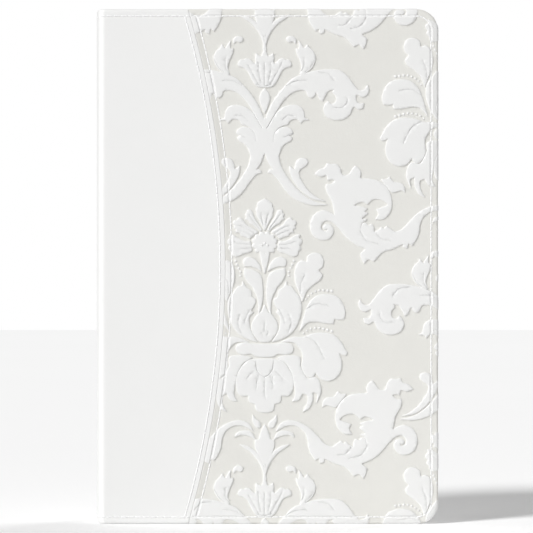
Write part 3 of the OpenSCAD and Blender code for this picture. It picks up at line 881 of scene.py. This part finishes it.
def smooth_leather(colours):
    # Calendered polyurethane on a cloth back: matt, with a fine pressed pore and a faint cloudiness.
    material, tree, shader = new_material(
        "polyurethane_leather_calendered", Base_Color=colours.smooth, IOR=1.5, Roughness=0.55)
    place = node(tree, "ShaderNodeAttribute", attribute_name="place")
    vector = (place, "Vector")
    # The real pore is about 0.2 mm across. It is drawn at 0.75 mm, so that it shows at all.
    pore = node(tree, "ShaderNodeTexVoronoi", {"Vector": vector, "Scale": per_metre(0.75)},
                feature="SMOOTH_F1")
    crease = node(tree, "ShaderNodeTexNoise", {"Vector": vector, "Scale": per_metre(2.6), "Detail": 5.0})
    grain = node(tree, "ShaderNodeMix", {"Factor": 0.5, "A": pore, "B": crease})
    cloud = node(tree, "ShaderNodeTexNoise", {"Vector": vector, "Scale": per_metre(40), "Detail": 2.0})
    wear = node(tree, "ShaderNodeMapRange", {"Value": crease, "To Min": 0.5, "To Max": 0.62})
    dress(tree, shader, cloud, shaded(colours.smooth, 0.975), colours.smooth, grain, 0.3, 0.1, Roughness=wear)
    return material


def damask_leather(colours):
    # The same leather, heat embossed: a sunk ground with a sandy grain, and figures ironed nearly flat.
    material, tree, shader = new_material(
        "polyurethane_leather_embossed", Base_Color=colours.ground, IOR=1.5, Roughness=0.6)
    place = node(tree, "ShaderNodeAttribute", attribute_name="place")
    raised = node(tree, "ShaderNodeAttribute", attribute_name="raised")
    vector = (place, "Vector")
    # The sandy grain is 0.3 mm on the real one. It is drawn at 0.8 mm, so that it shows.
    sand = node(tree, "ShaderNodeTexNoise", {"Vector": vector, "Scale": per_metre(0.8), "Detail": 4.0,
                                             "Roughness": 0.7})
    pebble = node(tree, "ShaderNodeTexVoronoi", {"Vector": vector, "Scale": per_metre(1.5)},
                  feature="SMOOTH_F1")
    rough = node(tree, "ShaderNodeMix", {"Factor": 0.45, "A": sand, "B": pebble})
    calm = node(tree, "ShaderNodeTexNoise", {"Vector": vector, "Scale": per_metre(1.2), "Detail": 3.0})
    quiet = node(tree, "ShaderNodeMapRange", {"Value": calm, "To Min": 0.42, "To Max": 0.58})
    share = node(tree, "ShaderNodeMapRange", {"Value": (raised, "Fac"), "From Min": 0.15, "From Max": 0.6})
    grain = node(tree, "ShaderNodeMix", {"Factor": share, "A": rough, "B": quiet})
    cloud = node(tree, "ShaderNodeTexNoise", {"Vector": vector, "Scale": per_metre(9), "Detail": 3.0})
    ground = node(tree, "ShaderNodeMix", {"Factor": cloud, "A": shaded(colours.ground, 0.96),
                                          "B": colours.ground}, data_type="RGBA")
    gloss = node(tree, "ShaderNodeMix", {"Factor": share, "A": 0.64, "B": 0.46})
    dress(tree, shader, share, ground, colours.figure, grain, 0.45, 0.14, Roughness=gloss)
    return material


def stitch_thread(colours):
    # Bonded polyester thread: two strands twisted, with a soft silky shine on each.
    material, tree, shader = new_material(
        "polyester_thread_twisted", Base_Color=colours.thread, IOR=1.5, Roughness=0.42,
        Sheen_Weight=0.2, Sheen_Roughness=0.4)
    place = node(tree, "ShaderNodeAttribute", attribute_name="place")
    # One turn of the twist is 0.9 mm of thread.
    twist = node(tree, "ShaderNodeTexWave", {"Vector": (place, "Vector"), "Scale": per_metre(0.9) * 0.31},
                 bands_direction="DIAGONAL")
    # The twist's grooves take the darker colour: painted shade between the strands.
    dress(tree, shader, twist, shaded(colours.thread, 0.93), colours.thread, twist, 0.6, 0.06)
    return material


def press_fibres(tree, shader, place, mottle, dark, light):
    """Finishes a page's paper: a fine, faint fibre under its colours."""
    fibre = node(tree, "ShaderNodeTexNoise", {"Vector": place, "Scale": per_metre(0.5), "Detail": 2.0})
    dress(tree, shader, mottle, dark, light, fibre, 0.12, 0.04)


def page_paper(colours):
    # Thin calendered book paper: matt, even, a little warm, with a cloudy look-through.
    material, tree, shader = new_material(
        "book_paper_calendered", Base_Color=colours.paper, IOR=1.5, Roughness=0.72)
    place = (node(tree, "ShaderNodeTexCoord"), "Object")
    cloud = node(tree, "ShaderNodeTexNoise", {"Vector": place, "Scale": per_metre(6), "Detail": 4.0})
    press_fibres(tree, shader, place, cloud, shaded(colours.paper, 0.95), colours.paper)
    return material


def printed_paper(colours):
    # The same paper, printed in two columns. Lines of small type look like grey bars, broken into words.
    material, tree, shader = new_material(
        "book_paper_printed", Base_Color=colours.paper, IOR=1.5, Roughness=0.72)
    place = (node(tree, "ShaderNodeTexCoord"), "Object")
    axes = node(tree, "ShaderNodeSeparateXYZ", {"Vector": place})
    # A line every 3.2 mm, and words about 4 mm long.
    line = node(tree, "ShaderNodeMath", {0: (axes, "Z"), 1: per_metre(3.2)}, operation="MULTIPLY")
    row = node(tree, "ShaderNodeMath", {0: line}, operation="FLOOR")
    part = node(tree, "ShaderNodeMath", {0: line}, operation="FRACT")
    inked = node(tree, "ShaderNodeMath", {0: part, 1: 0.4}, operation="LESS_THAN")
    across = node(tree, "ShaderNodeMath", {0: (axes, "X"), 1: per_metre(2.4)}, operation="MULTIPLY")
    spot = node(tree, "ShaderNodeCombineXYZ", {"X": across, "Y": row})
    words = node(tree, "ShaderNodeTexNoise", {"Vector": spot, "Scale": 1.0, "Detail": 0.0})
    word = node(tree, "ShaderNodeMapRange", {"Value": words, "From Min": 0.36, "From Max": 0.42})
    mask = node(tree, "ShaderNodeMath", {0: inked, 1: word}, operation="MULTIPLY")
    side = node(tree, "ShaderNodeMath", {0: (axes, "X")}, operation="ABSOLUTE")
    # Columns from 3 to 60 mm either side of the page's middle, and from 16 to 212 mm up.
    for source, test, limit in ((side, "GREATER_THAN", 3), (side, "LESS_THAN", 60),
                                ((axes, "Z"), "GREATER_THAN", 16), ((axes, "Z"), "LESS_THAN", 212)):
        inside = node(tree, "ShaderNodeMath", {0: source, 1: limit * MM}, operation=test)
        mask = node(tree, "ShaderNodeMath", {0: mask, 1: inside}, operation="MULTIPLY")
    press_fibres(tree, shader, place, mask, colours.paper, linear("#B9B7B3"))
    return material


def page_edge(colours):
    # Silver foil burnished on the trimmed edges: a metal sheen, broken up by the leaves.
    material, tree, shader = new_material(
        "silver_foil_burnished", Base_Color=colours.gilt, Metallic=0.25, Roughness=0.4)
    place = node(tree, "ShaderNodeTexCoord")
    stretch = node(tree, "ShaderNodeMapping", {"Vector": (place, "Object"), "Scale": (1, 60, 1)})
    # Leaves are 0.04 mm thick. The streaks are drawn at 0.3 mm, so that they show.
    leaves = node(tree, "ShaderNodeTexNoise", {"Vector": stretch, "Scale": per_metre(18), "Detail": 5.0})
    worn = node(tree, "ShaderNodeMapRange", {"Value": leaves, "To Min": 0.28, "To Max": 0.46})
    # The streaks take the darker colour where the leaves dip: painted shade between the leaves.
    dress(tree, shader, leaves, shaded(colours.gilt, 0.82), colours.gilt, leaves, 0.5, 0.05, Roughness=worn)
    return material


def endpaper_stock(colours):
    # Uncoated endpaper: heavier than the pages, with a fine felt texture.
    material, tree, shader = new_material(
        "endpaper_felt_marked", Base_Color=colours.endpaper, IOR=1.5, Roughness=0.8)
    place = (node(tree, "ShaderNodeTexCoord"), "Object")
    felt = node(tree, "ShaderNodeTexNoise", {"Vector": place, "Scale": per_metre(0.9), "Detail": 6.0,
                                             "Roughness": 0.6})
    cloud = node(tree, "ShaderNodeTexNoise", {"Vector": place, "Scale": per_metre(14)})
    dress(tree, shader, cloud, shaded(colours.endpaper, 0.94), colours.endpaper, felt, 0.35, 0.08)
    return material


def satin(colours):
    # Woven polyester satin: long floats along the ribbon give it a soft, one-way shine.
    material, tree, shader = new_material(
        "polyester_satin_woven", Base_Color=colours.ribbon, IOR=1.5, Roughness=0.36,
        Sheen_Weight=0.35, Sheen_Roughness=0.3, Anisotropic=0.5)
    place = node(tree, "ShaderNodeAttribute", attribute_name="place")
    # Threads are 0.12 mm apart. The ribs are drawn every 0.5 mm, so that they show.
    ribs = node(tree, "ShaderNodeTexWave", {"Vector": (place, "Vector"), "Scale": per_metre(0.5) * 0.31,
                                            "Distortion": 0.6, "Detail": 2.0}, bands_direction="X")
    # The troughs between the ribs take the darker colour: painted shade between the floats.
    dress(tree, shader, ribs, shaded(colours.ribbon, 0.88), colours.ribbon, ribs, 0.4, 0.04)
    return material


def inner_stock(name, hex_colour, cell, roughness, strength):
    """Plain stock for a piece inside the cover: a fibrous or woven surface of one colour, with painted shade
    in the dips of its texture.
    """
    colour = linear(hex_colour)
    material, tree, shader = new_material(name, Base_Color=colour, Roughness=roughness)
    place = (node(tree, "ShaderNodeTexCoord"), "Object")
    fibre = node(tree, "ShaderNodeTexNoise", {"Vector": place, "Scale": per_metre(cell), "Detail": 5.0})
    # The texture's dips take the darker colour: painted shade in the hollows of the fibre and weave.
    dress(tree, shader, fibre, shaded(colour, 0.8), colour, fibre, strength, 0.1)
    return material


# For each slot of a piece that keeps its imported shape: the word that names such a piece, then the
# material, its sRGB colour, the size of its fibre in millimetres, its roughness and depth of texture.
INNER_STOCKS = {
    "board_card": ("board", "greyboard_pressed", "#B9AF9C", 1.2, 0.85, 0.5),
    "infill_card": ("infill", "manila_card", "#D8CBA8", 0.9, 0.8, 0.3),
    "mull_cloth": ("mull", "cotton_mull_woven", "#DDD9CB", 0.5, 0.9, 0.8),
    "lining_card": ("lining", "kraft_lining_paper", "#C7B492", 0.8, 0.8, 0.4),
    "glue": ("glue", "animal_glue_dried", "#CDB98A", 3.0, 0.35, 0.3),
    "sewing_thread": ("sewing", "linen_thread_waxed", "#E9E2D0", 0.3, 0.6, 0.6),
}


# ---- operators ----

def case_of(context):
    """The case as the panel's sizes have it."""
    return Case(context.scene.book_case, context.scene.book_stitching)


class BOOK_OT_stage(bpy.types.Operator):
    """Makes the floor, the light and the camera"""
    bl_idname = "book.stage"
    bl_label = "Stage"

    def execute(self, context):
        scene = context.scene
        scene.view_settings.view_transform = "Standard"
        world = bpy.data.worlds.new("studio")
        world.use_nodes = True
        background = world.node_tree.nodes["Background"]
        rays = node(world.node_tree, "ShaderNodeLightPath")
        # The walls are white where they are seen, and light the book more softly than that.
        glow = node(world.node_tree, "ShaderNodeMapRange", {"Value": (rays, "Is Camera Ray"),
                                                            "To Min": ROOM_LIGHT, "To Max": 1.0})
        world.node_tree.links.new(glow.outputs["Result"], background.inputs["Strength"])
        background.inputs["Color"].default_value = (1, 1, 1, 1)
        scene.world = world
        corners = [(x * FLOOR_HALF, y * FLOOR_HALF, 0) for x, y in ((-1, -1), (1, -1), (1, 1), (-1, 1))]
        floor = new_piece("floor", corners, [(0, 1, 2, 3)])
        material, tree, shader = new_material(
            "floor_matt_paint", Base_Color=linear("#F4F4F4"), Roughness=0.9,
            Emission_Color=(1, 1, 1, 1), Emission_Strength=FLOOR_GLOW)
        place = node(tree, "ShaderNodeTexCoord")
        cloud = node(tree, "ShaderNodeTexNoise", {"Vector": (place, "Object"), "Scale": 2.0})
        tint = node(tree, "ShaderNodeMix", {"Factor": cloud, "A": linear("#F1F1F1"), "B": linear("#F4F4F4")},
                    data_type="RGBA")
        wire(tree, shader, Base_Color=tint)
        floor.data.materials.append(material)
        aim = Vector((0, -FACE, HEIGHT / 2)) * MM
        for name, away, softness, strength in LAMPS:
            lamp = bpy.data.lights.new(name, "SUN")
            lamp.angle = math.radians(softness)
            lamp.energy = strength
            light = bpy.data.objects.new(name, lamp)
            light.location = aim + Vector(away)
            light.rotation_euler = (-Vector(away)).to_track_quat("-Z", "Y").to_euler()
            scene.collection.objects.link(light)
        lens = bpy.data.cameras.new("camera")
        lens.lens, lens.sensor_width = 200, 36
        camera = bpy.data.objects.new("camera", lens)
        camera.location = aim + Vector((0, -FRAME_WIDTH * MM * lens.lens / lens.sensor_width, 0))
        camera.rotation_euler = (math.pi / 2, 0, 0)
        scene.collection.objects.link(camera)
        scene.camera = camera
        return {"FINISHED"}


def near_cover(case, curve):
    """Whether a curve comes near enough to the damask panel to be drawn."""
    margin = 2.5
    low, high = curve.min(0), curve.max(0)
    return (high[0] > case.seam(0) - 1 and low[0] < case.width + margin
            and high[1] > -margin and low[1] < HEIGHT + margin)


def place_motifs(case, sizes):
    """Every figure, engraved line and pearl that shows on the damask panel."""
    figures, veins, pearls = every_figure(), every_vein(), every_pearl()
    placed, cut, dots = [], [], []
    for at in repeats(sizes):
        placed += [f + at for f in figures if near_cover(case, f + at)]
        cut += [v + at for v in veins if near_cover(case, v + at)]
        dots += [(p + at, r) for p, r in pearls if near_cover(case, (p + at)[None])]
    return placed, cut, dots


def draw_damask(case, roll, placed, cut, dots):
    """The damask sheet laid flat, with lines wherever its surface changes: its places and its faces."""
    far = math.pi * roll + case.turn_in - roll
    net = Net()
    s_from = case.seam(0) - LAP - 2
    # Round the edge: over the roll, beside it, and where the turned-in leather ends.
    rolled = [roll - math.pi * roll * i / RINGS_ON_ROLL for i in range(RINGS_ON_ROLL + 1)]
    for inset in (*rolled, roll + 0.5, roll - math.pi * roll - case.turn_in + roll):
        net.add(case.outline(inset, s_from, 0.8))
    # Beside and along the rows of stitches, so that the furrow has its shape.
    stitching = case.stitching
    inset, half = stitching.inset / MM, stitching.groove_width / MM / 2
    z = np.linspace(inset - 1, HEIGHT - inset + 1, 150)
    for shift in (-1.3, -1, -0.5, 0, 0.5, 1, 1.3):
        net.add(case.outline(inset + shift * half, s_from))
        net.add(np.stack([case.seam(z) + stitching.outer_row / MM + shift * half, z], 1))
    # Along the seam, where the leather rises and the lap ends.
    z = np.linspace(-far, HEIGHT + far, 160)
    for past in (-LAP, -0.15, 0, 0.15, 0.5):
        net.add(np.stack([case.seam(z) + past, z], 1))
    net.scatter((case.seam(0) - LAP, case.width + 1), (-1, HEIGHT + 1), 2.3, 3)
    # Both flanks of every figure and engraved line, and the pearls.
    for curves, closed, shifts in ((placed, True, FIGURE_FLANK), (cut, False, (-VEIN_HALF, 0, VEIN_HALF))):
        for curve in curves:
            normal = side_normals(curve, closed)
            for out in shifts:
                net.add(curve + normal * out, closed)
    turn = np.linspace(0, 2 * math.pi, 12, endpoint=False)
    ring = np.stack([np.cos(turn), np.sin(turn)], 1)
    for centre, radius in dots:
        for share in (1.15, 0.85, 0.45):
            net.add(centre + ring * radius * share, True)
        net.add([centre])

    def keep(middle):
        out = case.beyond(middle[:, 0], middle[:, 1], roll)[0]
        return (middle[:, 0] > case.seam(middle[:, 1]) - LAP) & (out < far)

    return net.triangles(keep)


def around_curve(flat, curve, closed):
    """The places near a curve, their distances from it, and which of them it holds."""
    low, high = curve.min(0) - 1, curve.max(0) + 1
    index = np.nonzero(((flat > low) & (flat < high)).all(1))[0]
    return index, *distance_to(flat[index], curve, closed)


def emboss(case, sizes, flat, roll, placed, cut, dots):
    """Height of each place above the sunk ground, and how far it counts as raised for the material."""
    height = np.zeros(len(flat))
    foot, shoulder, top = FIGURE_FLANK
    for curve in placed:
        index, away, inside = around_curve(flat, curve, True)
        away = np.where(inside, -away, away)
        rise = np.interp(-away, [-foot, -shoulder, -top, 0.9, 2.5], [0, 0.5, 0.9, 0.96, 1.0])
        height[index] = np.maximum(height[index], rise)
    raised = height.copy()
    height *= sizes.relief / MM
    for centre, radius in dots:
        away = np.hypot(*(flat - centre).T)
        dome = PEARL_HEIGHT * np.sqrt(np.clip(1 - (away / (radius * 1.1))**2, 0, 1))
        height += dome
        raised = np.maximum(raised, dome / (PEARL_HEIGHT / 2))
    for curve in cut:
        index, away, _ = around_curve(flat, curve, False)
        height[index] -= np.minimum(sizes.vein / MM * (1 - ease(away / (VEIN_HALF + 0.02))),
                                    0.8 * height[index])
    # Figures fade out where the leather rolls over the edge, in the furrow and at the seam.
    out = case.beyond(flat[:, 0], flat[:, 1], roll)[0]
    past = flat[:, 0] - case.seam(flat[:, 1])
    pulled = furrow(case, flat)
    height *= 1 - 0.6 * ease((out + 2.2) / 2.4)
    height *= 1 - ease((out - 1.2) / 1.2)
    height *= 1 - 0.9 * pulled / (case.stitching.groove / MM)
    height *= ease((past - 0.02) / 0.5)
    # Beside the seam the leather lies nearly as high as the smooth panel's edge.
    beside = SEAM_LIFT * ease((past + 0.15) / 0.3) * (1 - ease((past - 0.4) / 2.6))
    beside *= 1 - ease((out + 1) / 1.2)
    height = np.maximum(height, beside)
    # The lap lies a little lower, so that it stays under the smooth panel on the inner side too.
    return height - pulled - LAP_SINK * (1 - ease((past + 0.15) / 0.3)), np.clip(raised, 0, 1)


class BOOK_OT_damask(bpy.types.Operator):
    """Makes the embossed damask leather of both covers"""
    bl_idname = "book.damask"
    bl_label = "Damask leather"

    def execute(self, context):
        sizes = context.scene.book_case
        case = case_of(context)
        material = damask_leather(context.scene.book_colours)
        roll = (COVER_DEPTH - GROUND_DEPTH) / 2
        motifs = place_motifs(case, sizes)
        flat, faces = draw_damask(case, roll, *motifs)
        lift, raised = emboss(case, sizes, flat, roll, *motifs)
        points = case.wrap(flat, lift, GROUND_DEPTH, roll)
        for side, piece in both_covers("_damask_leather", points, faces):
            set_place(piece, flat)
            attribute = piece.data.attributes.new("raised", "FLOAT", "POINT")
            attribute.data.foreach_set("value", np.asarray(raised, np.float32))
            # Keeps large flat faces even in the light, beside the narrow flanks.
            modifier = piece.modifiers.new("even_light", "WEIGHTED_NORMAL")
            modifier.weight = 50
            modifier.keep_sharp = True
            finish_piece(piece, material, "damask_leather", side + "_damask_panel", body=side + "_cover")
        return {"FINISHED"}


class BOOK_OT_smooth_leather(bpy.types.Operator):
    """Makes the smooth leather of both covers and the spine"""
    bl_idname = "book.smooth_leather"
    bl_label = "Smooth leather"

    def execute(self, context):
        case = case_of(context)
        material = smooth_leather(context.scene.book_colours)
        roll = COVER_DEPTH / 2
        rows = sheet_rows(roll, case.turn_in)
        fold = np.arange(START_S, FOLD_S + 3, 0.45)
        # Columns beside the seam, measured from it: close together in the furrow and at the cut edge.
        shift = np.array([-3.1, -2.85, -2.65, -2.47, -2.3, -2.13, -1.95, -1.75, -1.5, -1.1, -0.7, -0.42,
                          -0.24, -0.1, 0.0, 0.04, 0.05])
        fall = np.interp(shift, [-0.42, -0.24, -0.1, 0, 0.04, 0.05], [0, 0.01, 0.03, 0.1, 0.2, 0.58])
        flat, lift = [], []
        for z in rows:
            seam = case.seam(z)
            wide = np.linspace(fold[-1], seam - 3.4, 34)[1:]
            columns = np.concatenate([fold, wide, seam + shift])
            flat += [(s, z) for s in columns]
            lift += [0.0] * (len(columns) - len(shift)) + list(-fall)
        flat = np.array(flat)
        points = case.wrap(flat, np.array(lift) - furrow(case, flat), 0, roll)
        for side, piece in both_covers("_smooth_leather", points, grid_faces(len(rows), len(columns))):
            set_place(piece, flat)
            finish_piece(piece, material, "smooth_leather", side + "_smooth_panel", blend=fold_blend(side))

        def spine_roll(away):
            return SPINE_ROLL + (roll - SPINE_ROLL) * ease((np.abs(away) - 13) / 6)

        reach = START_S - case.middle
        away = np.concatenate([np.linspace(-reach, -3, 38), np.linspace(-3, 3, 17)[1:-1],
                               np.linspace(3, reach, 38)])
        heights = [sheet_rows(r, 2.0) for r in spine_roll(away)]
        flat = np.array([(case.middle + a, z) for level in zip(*heights) for a, z in zip(away, level)])
        on_cover = np.column_stack([START_S + 0 * flat[:, 0], flat[:, 1]])
        points = case.wrap(flat, -furrow(case, on_cover), 0, spine_roll(flat[:, 0] - case.middle))
        piece = new_piece("spine_leather", points, grid_faces(len(heights[0]), len(away)))
        set_place(piece, flat)
        finish_piece(piece, material, "smooth_leather", "spine_skin_front_half", "spine_skin_back_half",
                     blend=middle_blend(SPINE_HALF))
        return {"FINISHED"}


class BOOK_OT_stitching(bpy.types.Operator):
    """Makes every visible stitch"""
    bl_idname = "book.stitching"
    bl_label = "Stitching"

    def execute(self, context):
        case = case_of(context)
        material = stitch_thread(context.scene.book_colours)
        edge, inner, outer = stitch_rows(case)
        on_cover = edge[edge[:, 0] > START_S]
        points, faces, place = [], [], []
        for row in (on_cover, inner, outer):
            sew(case, row, points, faces, place)
        for side, piece in both_covers("_stitches", points, faces):
            set_place(piece, np.array(place))
            finish_piece(piece, material, "stitching", side + "_edge_thread", side + "_seam_threads",
                         blend=fold_blend(side))
        points, faces, place = [], [], []
        inset = case.stitching.inset / MM
        for z in (inset, HEIGHT - inset):
            s = np.linspace(2 * case.middle - START_S, START_S, 80)
            sew(case, np.stack([s, 0 * s + z], 1), points, faces, place)
        piece = new_piece("spine_stitches", points, faces)
        set_place(piece, np.array(place))
        finish_piece(piece, material, "stitching", "spine_thread_front_half", "spine_thread_back_half",
                     blend=middle_blend(SPINE_HALF))
        return {"FINISHED"}


class BOOK_OT_endpapers(bpy.types.Operator):
    """Makes the pastedowns and flyleaves, each with its hinge"""
    bl_idname = "book.endpapers"
    bl_label = "Endpapers"

    def execute(self, context):
        case = case_of(context)
        material = endpaper_stock(context.scene.book_colours)
        fold = LEFT + FOLD_S
        x = np.concatenate([np.linspace(fold - 2.3, fold + 2.3, 9), [fold + 6]])
        # Each leaf, the body that fold_blend names for it, and its depths below the cover's face.
        for name, other, near, far in (("pastedown", "cover", 2.4, 2.6), ("flyleaf", "flyleaf", 2.71, 2.87)):
            low, high = node_box("front_" + name)
            rows = leaf_rows(x, high[0], low[2], high[2], case.corner - (RIGHT - high[0]))
            points, faces = [], []
            add_slab(points, faces, rows, -FACE + near, -FACE + far)
            for side, piece in both_covers("_%s_paper" % name, points, faces, smooth=False):
                finish_piece(piece, material, "endpaper", "%s_%s" % (side, name),
                             blend=fold_blend(side, other))
        return {"FINISHED"}


class BOOK_OT_pages(bpy.types.Operator):
    """Makes the folded sections of pages"""
    bl_idname = "book.pages"
    bl_label = "Pages"

    def execute(self, context):
        case = case_of(context)
        colours = context.scene.book_colours
        materials = page_paper(colours), page_edge(colours), printed_paper(colours)
        on_paper, on_edge, on_printed = range(3)
        radius = case.corner - (RIGHT - PAGES_HIGH[0])
        rng = random.Random(11)
        for body in ("front_block", "back_block"):
            names = sorted(n for n, o in frame["nodes"].items()
                           if n.startswith("signature") and o["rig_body"] == body)
            for name in names:
                low, high = node_box(name)
                piece = page_section(name, low, high, radius, rng)
                for material in materials:
                    piece.data.materials.append(material)
                opening = abs(low[1]) < 1 or abs(high[1]) < 1
                for face in piece.data.polygons:
                    if abs(face.normal.y) > 0.5:
                        at_opening = opening and abs(face.center.y) < 0.3 * MM
                        face.material_index = on_printed if at_opening else on_paper
                    else:
                        face.material_index = on_paper if face.center.x < (low[0] + 2) * MM else on_edge
                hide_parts(name)
                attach(piece, body)
        low, high = node_box(names[0])
        path = gutter_path(low[0])
        points = [(x, y, z) for z in (low[2], high[2]) for x, y in path]
        piece = new_piece("gutter_paper", points, grid_faces(2, len(path)))
        piece.data.materials.append(materials[on_paper])
        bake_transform(piece)
        return {"FINISHED"}


class BOOK_OT_bands(bpy.types.Operator):
    """Makes the woven bands at the head and tail of the spine"""
    bl_idname = "book.bands"
    bl_label = "Headbands"

    def execute(self, context):
        material = satin(context.scene.book_colours)
        for end in ("head", "tail"):
            for half in ("front", "back"):
                name = "%sband_%s_half" % (end, half)
                low, high = node_box(name)
                piece = woven_band(end + "band_" + half, case_of(context), low, high)
                finish_piece(piece, material, "band_cloth", name, body=half + "_block")
        return {"FINISHED"}


class BOOK_OT_ribbon(bpy.types.Operator):
    """Makes the satin ribbon marker"""
    bl_idname = "book.ribbon"
    bl_label = "Ribbon"

    def execute(self, context):
        piece = ribbon_marker()
        finish_piece(piece, satin(context.scene.book_colours), "ribbon", "ribbon_marker", body="back_block")
        return {"FINISHED"}


class BOOK_OT_inner_pieces(bpy.types.Operator):
    """Gives the pieces inside the covers and spine their materials"""
    bl_idname = "book.inner_pieces"
    bl_label = "Inner pieces"

    def execute(self, context):
        made = {}
        for name, piece in frame["nodes"].items():
            if piece.hide_render:
                continue
            slot = next((s for s, stock in INNER_STOCKS.items() if stock[0] in name), None)
            if slot is None:
                raise RuntimeError("no material for " + name)
            if slot not in made:
                made[slot] = inner_stock(*INNER_STOCKS[slot][1:])
            piece.data.materials.clear()
            piece.data.materials.append(made[slot])
        return {"FINISHED"}


OPERATORS = (BOOK_OT_stage, BOOK_OT_damask, BOOK_OT_smooth_leather, BOOK_OT_stitching, BOOK_OT_endpapers,
             BOOK_OT_pages, BOOK_OT_bands, BOOK_OT_ribbon, BOOK_OT_inner_pieces)


class BOOK_PT_panel(bpy.types.Panel):
    """Lists the book's pieces"""
    bl_idname = "BOOK_PT_panel"
    bl_label = "Book"
    bl_space_type = "VIEW_3D"
    bl_region_type = "UI"
    bl_category = "Book"

    def draw(self, context):
        for group in ("book_case", "book_stitching", "book_colours"):
            values = getattr(context.scene, group)
            box = self.layout.box()
            for name in values.__annotations__:
                box.prop(values, name)
        for operator in OPERATORS:
            self.layout.operator(operator.bl_idname)


CLASSES = (BOOK_PG_case, BOOK_PG_stitching, BOOK_PG_colours, *OPERATORS, BOOK_PT_panel)


def register():
    for item in CLASSES:
        bpy.utils.register_class(item)
    bpy.types.Scene.book_case = bpy.props.PointerProperty(type=BOOK_PG_case)
    bpy.types.Scene.book_stitching = bpy.props.PointerProperty(type=BOOK_PG_stitching)
    bpy.types.Scene.book_colours = bpy.props.PointerProperty(type=BOOK_PG_colours)


def unregister():
    del bpy.types.Scene.book_colours
    del bpy.types.Scene.book_stitching
    del bpy.types.Scene.book_case
    for item in reversed(CLASSES):
        bpy.utils.unregister_class(item)


def main():
    """Makes the whole book."""
    register()
    for operator in OPERATORS:
        group, name = operator.bl_idname.split(".")
        getattr(getattr(bpy.ops, group), name)()


if __name__ == "__main__":
    main()
